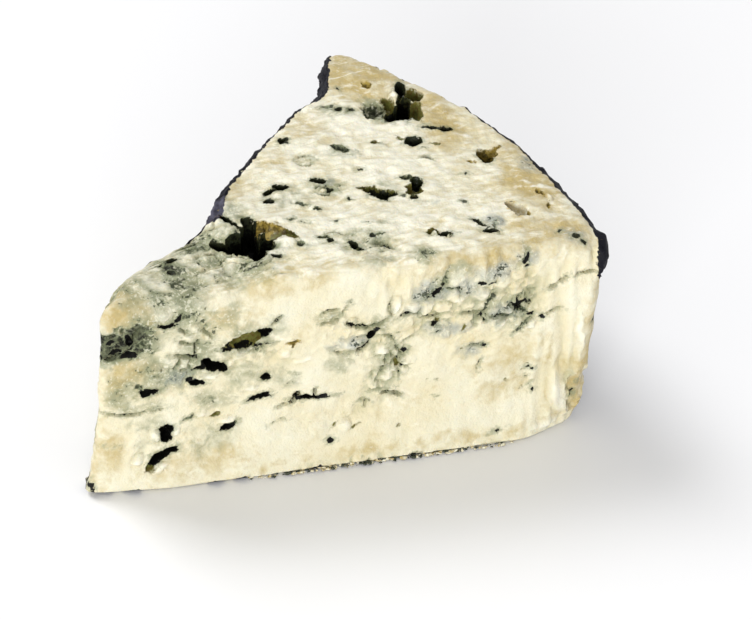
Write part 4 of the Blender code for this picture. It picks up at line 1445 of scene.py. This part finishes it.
class NodeSheet:
    """Short ways to add and join the nodes of one material."""

    def __init__(self, name):
        self.material = bpy.data.materials.new(name)
        self.material.use_nodes = True
        self.tree = self.material.node_tree
        self.shader = self.tree.nodes["Principled BSDF"]
        self.place = self.add("ShaderNodeTexCoord").outputs["Object"]

    def add(self, kind, **settings):
        """A new node of this kind with these settings."""
        node = self.tree.nodes.new(kind)
        for key, value in settings.items():
            setattr(node, key, value)
        return node

    def put(self, socket, value):
        """Links a socket or sets a plain value."""
        if isinstance(value, bpy.types.NodeSocket):
            self.tree.links.new(value, socket)
        else:
            socket.default_value = value

    def math(self, operation, first, second=0.0, clamp=False):
        """One operation of two values."""
        node = self.add("ShaderNodeMath", operation=operation, use_clamp=clamp)
        self.put(node.inputs[0], first)
        self.put(node.inputs[1], second)
        return node.outputs[0]

    def ramp(self, value, low, high, to_low=0.0, to_high=1.0):
        """A smooth step of the value, from to_low at low to to_high at high."""
        node = self.add("ShaderNodeMapRange", interpolation_type="SMOOTHSTEP")
        for socket, given in zip(node.inputs, (value, low, high, to_low, to_high)):
            self.put(socket, given)
        return node.outputs[0]

    def total(self, start, *terms):
        """The start value plus every term: its socket times its factor, plus its offset if it has one."""
        total = start
        for socket, factor, *offset in terms:
            node = self.add("ShaderNodeMath", operation="MULTIPLY_ADD")
            for given, value in zip(node.inputs, (socket, factor, *(offset or (0.0,)))):
                self.put(given, value)
            total = self.math("ADD", node.outputs[0], total)
        return total

    def times(self, first, second):
        """The first times the second."""
        return self.math("MULTIPLY", first, second)

    def most(self, first, second):
        """The larger of the two."""
        return self.math("MAXIMUM", first, second)

    def clip(self, value):
        """The value kept between 0 and 1."""
        return self.math("ADD", value, 0.0, clamp=True)

    def noise(self, per_metre, detail=3.0, stretch=(1.0, 1.0, 1.0), distortion=0.0):
        """Noise with this many lumps per metre."""
        mapping = self.add("ShaderNodeMapping")
        self.put(mapping.inputs["Vector"], self.place)
        self.put(mapping.inputs["Scale"], stretch)
        node = self.add("ShaderNodeTexNoise")
        self.put(node.inputs["Vector"], mapping.outputs[0])
        self.put(node.inputs["Scale"], per_metre)
        self.put(node.inputs["Detail"], detail)
        self.put(node.inputs["Distortion"], distortion)
        return node.outputs["Fac"]

    def mix(self, share, first, second):
        """The first colour, with this share of the second over it."""
        node = self.add("ShaderNodeMix", data_type="RGBA")
        self.put(node.inputs[0], share)
        self.put(node.inputs[6], first)
        self.put(node.inputs[7], second)
        return node.outputs[2]

    def mark(self, title):
        """The four channels of a colour attribute."""
        attribute = self.add("ShaderNodeAttribute", attribute_name=title)
        split = self.add("ShaderNodeSeparateColor")
        self.put(split.inputs[0], attribute.outputs["Color"])
        return (*split.outputs, attribute.outputs["Alpha"])

    def bump(self, height, distance, strength=1.0):
        """Gives the shader a fine relief of this height."""
        node = self.add("ShaderNodeBump")
        self.put(node.inputs["Height"], height)
        self.put(node.inputs["Distance"], distance)
        self.put(node.inputs["Strength"], strength)
        self.put(self.shader.inputs["Normal"], node.outputs[0])


def even(socket, factor):
    """A term for a total that swings evenly about 0, from a socket whose middle is a half."""
    return socket, factor, -factor / 2.0


def paste_layers(sheet, colours, tan, white, lift, streak, crumbly, top):
    """Cream paste, tan where it has dried, with painted light and shade: raised paste whiter, a painted
    highlight on the knobs, the drag streaks whiter from the knife's smear and a painted highlight, and
    painted shade in its recesses.
    """
    broad = sheet.noise(110.0, 4.0)
    veil = sheet.noise(300.0, 5.0, distortion=0.7)
    fine = sheet.noise(950.0, 4.0)
    # Painted light and shade: the lift term draws raised paste whiter and sunken paste creamier.
    shade = sheet.total(0.42, even(broad, 1.6), even(lift, -1.0), (top, -0.15), even(fine, 0.5))
    colour = sheet.mix(sheet.clip(shade), colours.paste_white, colours.paste_cream)
    tan_share = sheet.total(-0.2, (tan, 1.1), even(veil, 2.2), even(broad, 1.4), even(fine, 0.8))
    colour = sheet.mix(sheet.times(sheet.clip(tan_share), 0.85), colour, colours.crust_tan)
    streaks = sheet.noise(480.0, 6.0, stretch=(0.42, 1.0, 1.0), distortion=1.6)
    patches = sheet.noise(150.0, 4.0, distortion=1.0)
    dull = sheet.total(-0.84, even(streak, -0.5), even(streaks, -2.2), even(patches, -2.0), (top, 0.85))
    colour = sheet.mix(sheet.times(sheet.clip(dull), 0.5), colour, colours.crust_tan)
    # The drag streaks on the top are drawn whiter: the knife's smear, with a painted highlight along their
    # ridges.
    pale = sheet.total(-0.5, even(streak, 0.8), even(streaks, 3.4), even(patches, 2.4), (top, 0.8))
    pale = sheet.total(0.0, (pale, 1.0), even(fine, 1.4), (tan, -0.55))
    colour = sheet.mix(sheet.times(sheet.clip(pale), 0.9), colour, colours.streak_white)
    # Painted shade: the recesses of the crumbly paste are darkened towards a grey-green.
    recess = sheet.ramp(sheet.total(0.0, (lift, 1.0), even(fine, 0.4)), 0.42, 0.1)
    recess = sheet.times(recess, sheet.ramp(crumbly, 0.15, 0.6, 0.15, 0.6))
    colour = sheet.mix(recess, colour, colours.recess_green)
    # Painted highlight: the domes of the knobs are drawn in the white of the streaks.
    knob_highlight = sheet.total(-0.4, (white, 1.2), even(fine, 1.6), even(veil, 2.4))
    return sheet.mix(sheet.times(sheet.clip(knob_highlight), 0.85), colour, colours.streak_white)


def mould_layers(sheet, colours, colour, green, blue, lift):
    """Veils of mould broken up by noise, with dark specks in them and white crumbs over them."""
    broad = sheet.noise(170.0, 3.0, distortion=0.8)
    veil = sheet.noise(380.0, 6.0, distortion=1.2)
    cloud = sheet.noise(900.0, 5.0, distortion=0.8)
    speck = sheet.noise(1900.0, 4.0, distortion=0.5)
    for stain, veil_colour, strength, level in (
        (green, colours.mould_green_grey, 0.85, 0.0),
        (blue, colours.mould_blue_grey, 0.8, 0.04),
    ):
        share = sheet.total(-0.22, (stain, 1.25), even(broad, 1.8), even(veil, 1.6), even(cloud, 0.6))
        # The lift term draws the mould stronger in the recesses: painted shade.
        share = sheet.total(0.0, (share, 1.0), even(lift, -0.5))
        share = sheet.times(sheet.clip(share), sheet.ramp(stain, 0.05, 0.3, 0.0, strength))
        colour = sheet.mix(share, colour, veil_colour)
        dots = sheet.total(level, (stain, 0.55, -0.1), even(speck, 1.3), even(veil, 2.0), even(lift, -0.4))
        dots = sheet.times(sheet.ramp(dots, 0.56, 0.76), sheet.ramp(stain, 0.15, 0.4))
        colour = sheet.mix(sheet.times(dots, 0.9), colour, colours.mould_green)
        crumbs = sheet.total(0.0, even(speck, -1.6), even(cloud, -1.2), (stain, 0.2))
        crumbs = sheet.times(sheet.ramp(crumbs, 0.26, 0.42), sheet.ramp(stain, 0.2, 0.5, 0.0, 0.55))
        colour = sheet.mix(crumbs, colour, colours.paste_white)
    matted = sheet.total(0.0, (green, 1.0), even(veil, 0.8), even(cloud, 0.6))
    matted = sheet.ramp(matted, 0.95, 1.35, 0.0, 0.9)
    mat_colour = sheet.mix(sheet.ramp(cloud, 0.36, 0.56), colours.mould_green_grey, colours.wall_green)
    colour = sheet.mix(matted, colour, mat_colour)
    thick = sheet.total(-0.3, (green, 0.62), even(veil, 4.2), even(cloud, 2.4), even(speck, 1.2))
    thick = sheet.times(sheet.ramp(thick, 0.0, 0.6), sheet.ramp(green, 0.95, 1.3, 0.0, 0.95))
    return sheet.mix(thick, colour, colours.mould_black)


def hole_layers(sheet, colours, colour, linings, crack, depth, top):
    """Crisp holes and cracks: a grey-green fringe outside each outline, part mould halo and part painted
    shade, its lining inside, and black where deep: dark mould with painted shade.
    """
    edge = sheet.noise(1300.0, 4.0, distortion=0.6)
    speck = sheet.noise(2600.0, 3.0)
    rough = sheet.total(0.0, even(edge, 0.34), even(speck, 0.2))
    dark, green, olive, amber = linings
    # The fringe round dark holes and cracks is a halo of mould and painted shade.
    fringe_and_shade = sheet.most(sheet.most(dark, green), sheet.times(crack, 0.94))
    fringe_and_shade = sheet.total(0.0, (fringe_and_shade, 1.0), even(edge, 0.9))
    fringe_and_shade = sheet.times(sheet.ramp(fringe_and_shade, 0.14, 0.56), 0.6)
    colour = sheet.mix(fringe_and_shade, colour, colours.mould_green_grey)
    # Painted shade: the linings turn black with the hole's depth.
    deep = sheet.ramp(sheet.total(0.0, (depth, 1.0), even(edge, 0.6)), 0.3, 0.75)
    for lining, tint in ((amber, colours.lining_amber), (olive, colours.lining_olive)):
        share = sheet.ramp(sheet.math("ADD", lining, rough), 0.42, 0.68)
        patchy = sheet.mix(sheet.ramp(edge, 0.42, 0.62), tint, colours.lining_dull)
        colour = sheet.mix(share, colour, sheet.mix(deep, patchy, colours.mould_black))
    share = sheet.ramp(sheet.math("ADD", green, rough), 0.45, 0.58)
    mottled = sheet.mix(sheet.ramp(edge, 0.40, 0.56), colours.mould_green_grey, colours.mould_green)
    colour = sheet.mix(sheet.times(share, 0.92), colour, mottled)
    fading = sheet.total(0.0, (crack, 1.0), (sheet.noise(260.0, 4.0), 0.7, -0.37))
    share = sheet.ramp(sheet.math("ADD", sheet.most(dark, fading), rough), 0.49, 0.57)
    shallow = sheet.total(0.0, (depth, -1.0), even(edge, 1.6))
    wall = sheet.mix(sheet.ramp(edge, 0.5, 0.62), colours.wall_green, colours.mould_green)
    shallow = sheet.times(sheet.ramp(shallow, -0.36, -0.12), sheet.ramp(top, 0.5, 0.9, 0.0, 0.5))
    inky = sheet.mix(shallow, colours.mould_black, wall)
    return sheet.mix(share, colour, inky), sheet.most(share, deep)


def rind_layers(sheet, colours, colour, rind, bloom_and_sheen):
    """Black rind with a lavender-grey bloom in patches, a painted sheen where it lies on the torn strip,
    and flecks of paste where it has worn through.
    """
    edge = sheet.noise(1100.0, 4.0)
    veil = sheet.noise(420.0, 4.0, distortion=0.5)
    broad = sheet.noise(130.0, 4.0, distortion=0.6)
    share = sheet.ramp(sheet.total(0.0, (rind, 1.0), even(edge, 0.5)), 0.48, 0.55)
    patches = sheet.total(-0.6, (bloom_and_sheen, 1.4), even(veil, 2.4), even(edge, 0.8), even(broad, 1.6))
    skin = sheet.mix(sheet.clip(patches), colours.rind_black, colours.rind_bloom)
    worn = sheet.total(0.0, (edge, 1.0), even(broad, 1.2), (bloom_and_sheen, 0.1))
    skin = sheet.mix(sheet.ramp(worn, 0.80, 0.88, 0.0, 0.5), skin, colours.crust_tan)
    return sheet.mix(share, colour, skin), share


def paste_material(colours):
    """Moist cream paste with mould in its holes and stains, tan crust and dark rind, by the marks."""
    sheet = NodeSheet("blue_cheese_paste")
    linings = sheet.mark("mould_marks")
    *stains, white = sheet.mark("paste_marks")
    green, blue, tan = (sheet.times(stain, STAIN_TOP) for stain in stains)
    rind, crack, lift, depth = sheet.mark("form_marks")
    bloom_and_sheen, streak, crumbly, top = sheet.mark("skin_marks")
    colour = paste_layers(sheet, colours, tan, white, lift, streak, crumbly, top)
    colour = mould_layers(sheet, colours, colour, green, blue, lift)
    colour, hollow = hole_layers(sheet, colours, colour, linings, crack, depth, top)
    colour, rind_share = rind_layers(sheet, colours, colour, rind, bloom_and_sheen)
    sheet.put(sheet.shader.inputs["Base Color"], colour)

    fine = sheet.noise(1000.0, 4.0)
    grain = sheet.noise(2400.0, 3.0)
    wet = sheet.noise(240.0, 3.0)
    mouldy = sheet.clip(sheet.math("ADD", green, blue))
    rough = sheet.total(0.44, even(wet, 0.5), (mouldy, 0.18), (rind_share, 0.22), (top, -0.08))
    sheet.put(sheet.shader.inputs["Roughness"], rough)
    dry = sheet.most(sheet.most(hollow, rind_share), mouldy)
    damp = sheet.math("MULTIPLY", sheet.ramp(wet, 0.42, 0.6), sheet.math("SUBTRACT", 0.5, dry), clamp=True)
    sheet.put(sheet.shader.inputs["Coat Weight"], damp)
    height = sheet.total(0.0, (fine, 0.65), (grain, 0.35))
    sheet.bump(height, GRAIN_HEIGHT, 0.75)
    for title, value in MOIST_PASTE.items():
        sheet.shader.inputs[title].default_value = value
    return sheet.material


def crumb_material(colours):
    """Cream crumbs, some of them dark with mould."""
    sheet = NodeSheet("cheese_crumbs")
    tone = sheet.mark("crumb_marks")[0]
    fine = sheet.noise(1500.0, 3.0)
    colour = sheet.mix(sheet.ramp(fine, 0.35, 0.65), colours.paste_white, colours.crust_tan)
    colour = sheet.mix(sheet.ramp(tone, 0.55, 0.65), colour, colours.mould_green)
    sheet.put(sheet.shader.inputs["Base Color"], colour)
    sheet.put(sheet.shader.inputs["Roughness"], 0.6)
    sheet.bump(fine, CRUMB_GRAIN_HEIGHT, 0.6)
    return sheet.material


def colour_property(name, red, green, blue):
    """A colour setting, given as linear red, green and blue."""
    return FloatVectorProperty(
        name=name,
        description=f"{name} of the cheese",
        subtype="COLOR",
        size=4,
        min=0.0,
        max=1.0,
        default=(red, green, blue, 1.0),
    )


class CheeseColours(bpy.types.PropertyGroup):
    """Colours of the paste, its mould and its rind, and of the painted shade and highlights drawn on them.
    """

    paste_white: colour_property("White paste", 0.70, 0.675, 0.53)
    # White of the drag streaks and of the painted highlights on the knobs and streaks.
    streak_white: colour_property("White streaks and painted highlights", 0.80, 0.775, 0.65)
    paste_cream: colour_property("Cream paste", 0.66, 0.585, 0.375)
    crust_tan: colour_property("Tan crust", 0.425, 0.322, 0.115)
    recess_green: colour_property("Shaded recess", 0.34, 0.35, 0.22)
    # Colour of the painted shade in the paste's recesses.
    mould_green_grey: colour_property("Green-grey mould", 0.20, 0.22, 0.125)
    mould_blue_grey: colour_property("Blue-grey mould", 0.27, 0.295, 0.27)
    mould_green: colour_property("Dark green mould", 0.030, 0.038, 0.020)
    wall_green: colour_property("Olive-green hole wall", 0.035, 0.040, 0.015)
    # Black of the dense mould, and the painted shade deep in the holes and cracks.
    mould_black: colour_property("Black mould and painted shade", 0.003, 0.003, 0.002)
    lining_olive: colour_property("Olive hole lining", 0.14, 0.14, 0.032)
    lining_amber: colour_property("Amber hole lining", 0.33, 0.24, 0.050)
    lining_dull: colour_property("Dull hole lining", 0.12, 0.088, 0.019)
    rind_black: colour_property("Dark rind", 0.004, 0.004, 0.008)
    # Pale bloom of the rind, which also stands as a painted sheen on the torn strip.
    rind_bloom: colour_property("Rind bloom", 0.085, 0.082, 0.115)


class CheeseForm(bpy.types.PropertyGroup):
    """Sizes of the holes and the broken curds, and how many crumbs there are."""

    hole_depth: FloatProperty(
        name="Hole depth",
        description="Depth of every hole, as a share of its own",
        default=1.0,
        min=0.0,
        subtype="FACTOR",
    )
    curd_height: FloatProperty(
        name="Curd height",
        description="Height of the broken curds, as a share of their own",
        default=1.0,
        min=0.0,
        subtype="FACTOR",
    )
    crumb_count: IntProperty(name="Crumbs", description="Crumbs along the foot", default=260, min=1)


class CheeseStage(bpy.types.PropertyGroup):
    """Camera and lights of the studio stage."""

    azimuth: FloatProperty(
        name="Azimuth",
        description="Camera turn from the front",
        default=math.radians(-20.5),
        subtype="ANGLE",
    )
    elevation: FloatProperty(
        name="Elevation",
        description="Camera height over the floor",
        default=math.radians(36.6),
        subtype="ANGLE",
    )
    roll: FloatProperty(name="Roll", description="Camera lean", default=math.radians(5.4), subtype="ANGLE")
    distance: FloatProperty(
        name="Distance",
        description="Camera to aim point",
        default=0.6733,
        unit="LENGTH",
    )
    lens: FloatProperty(name="Lens", description="Focal length in millimetres", default=167.6)
    key_power: FloatProperty(name="Key light", description="Key light's power in watts", default=70.0)
    fill_power: FloatProperty(name="Fill light", description="Fill light's power in watts", default=92.0)
    sky: FloatProperty(name="Surroundings", description="Strength of the white background", default=0.63)


def finish_piece(piece, material):
    """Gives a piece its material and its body."""
    piece.data.materials.append(material)
    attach(piece, "root")


class CHEESE_OT_add_paste(bpy.types.Operator):
    """Builds the wedge's paste with its holes, cracks, mould and rind"""

    bl_idname = "cheese.add_paste"
    bl_label = "Add Cheese Paste"

    def execute(self, context):
        piece = mesh_from("wedge_paste", *paste_surface(context.scene.cheese_form))
        finish_piece(piece, paste_material(context.scene.cheese_colours))
        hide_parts(NODE)
        return {"FINISHED"}


class CHEESE_OT_add_crumbs(bpy.types.Operator):
    """Builds the crumbs along the foot of the front cut"""

    bl_idname = "cheese.add_crumbs"
    bl_label = "Add Crumbs"

    def execute(self, context):
        piece = mesh_from("foot_crumbs", *crumb_heap(context.scene.cheese_form.crumb_count))
        finish_piece(piece, crumb_material(context.scene.cheese_colours))
        return {"FINISHED"}


def add_light(name, place, aim, size, power):
    """A rectangular area light that faces its aim point."""
    data = bpy.data.lights.new(name, "AREA")
    data.shape = "RECTANGLE"
    data.size, data.size_y = size
    data.energy = power
    lamp = bpy.data.objects.new(name, data)
    lamp.location = place
    lamp.rotation_euler = (Vector(aim) - Vector(place)).to_track_quat("-Z", "Y").to_euler()
    lamp.visible_camera = False
    bpy.context.scene.collection.objects.link(lamp)


def floor_material():
    """Plain pale floor with a faint sheen."""
    sheet = NodeSheet("studio_floor")
    tone = sheet.mix(sheet.noise(FLOOR_MOTTLE), *FLOOR_TONES)
    sheet.put(sheet.shader.inputs["Base Color"], tone)
    sheet.put(sheet.shader.inputs["Roughness"], FLOOR_ROUGHNESS)
    return sheet.material


def add_floor():
    """A wide plane just under the base."""
    bpy.ops.mesh.primitive_plane_add(size=FLOOR_SIZE, location=(0.0, 0.0, -FLOOR_GAP))
    floor = bpy.context.object
    floor.name = "studio_floor"
    floor.data.materials.append(floor_material())


def add_surroundings(strength):
    """A white world of this strength."""
    world = bpy.data.worlds.new("studio_world")
    world.use_nodes = True
    background = world.node_tree.nodes["Background"]
    background.inputs["Color"].default_value = BACKGROUND
    background.inputs["Strength"].default_value = strength
    bpy.context.scene.world = world


def add_camera(stage):
    """The camera on its line back from the aim point, leaning by its roll."""
    flat = math.cos(stage.elevation)
    across, along = math.sin(stage.azimuth) * flat, -math.cos(stage.azimuth) * flat
    back = Vector((across, along, math.sin(stage.elevation)))
    data = bpy.data.cameras.new("studio_camera")
    data.lens = stage.lens
    data.sensor_width = SENSOR_WIDTH
    camera = bpy.data.objects.new("studio_camera", data)
    turn = (-back).to_track_quat("-Z", "Y").to_matrix() @ Matrix.Rotation(stage.roll, 3, "Z")
    camera.matrix_world = Matrix.Translation(CAMERA_AIM + back * stage.distance) @ turn.to_4x4()
    bpy.context.scene.collection.objects.link(camera)
    bpy.context.scene.camera = camera


class CHEESE_OT_add_stage(bpy.types.Operator):
    """Builds the floor, the soft lights, the background and the camera"""

    bl_idname = "cheese.add_stage"
    bl_label = "Add Studio Stage"

    def execute(self, context):
        stage = context.scene.cheese_stage
        add_floor()
        add_light("key_light", KEY_PLACE, KEY_AIM, KEY_SIZE, stage.key_power)
        add_light("fill_light", FILL_PLACE, FILL_AIM, FILL_SIZE, stage.fill_power)
        add_surroundings(stage.sky)
        add_camera(stage)
        context.scene.view_settings.view_transform = "Standard"
        return {"FINISHED"}


class CHEESE_PT_panel(bpy.types.Panel):
    """Sidebar panel that lists the wedge's pieces and settings"""

    bl_label = "Blue Cheese Wedge"
    bl_idname = "CHEESE_PT_panel"
    bl_space_type = "VIEW_3D"
    bl_region_type = "UI"
    bl_category = "Cheese"

    def draw(self, context):
        layout = self.layout
        for operator in OPERATORS:
            layout.operator(operator.bl_idname)
        scene = context.scene
        for group in (scene.cheese_form, scene.cheese_colours, scene.cheese_stage):
            for key in group.__annotations__:
                layout.prop(group, key)


OPERATORS = (CHEESE_OT_add_paste, CHEESE_OT_add_crumbs, CHEESE_OT_add_stage)
CLASSES = (CheeseForm, CheeseColours, CheeseStage, *OPERATORS, CHEESE_PT_panel)


def register():
    """Adds the classes and the three groups of settings."""
    for cls in CLASSES:
        bpy.utils.register_class(cls)
    bpy.types.Scene.cheese_form = PointerProperty(type=CheeseForm)
    bpy.types.Scene.cheese_colours = PointerProperty(type=CheeseColours)
    bpy.types.Scene.cheese_stage = PointerProperty(type=CheeseStage)


def unregister():
    """Takes away what register added."""
    del bpy.types.Scene.cheese_stage
    del bpy.types.Scene.cheese_colours
    del bpy.types.Scene.cheese_form
    for cls in reversed(CLASSES):
        bpy.utils.unregister_class(cls)


def main():
    """Builds the pieces and the stage."""
    register()
    bpy.ops.cheese.add_paste()
    bpy.ops.cheese.add_crumbs()
    bpy.ops.cheese.add_stage()


if __name__ == "__main__":
    main()
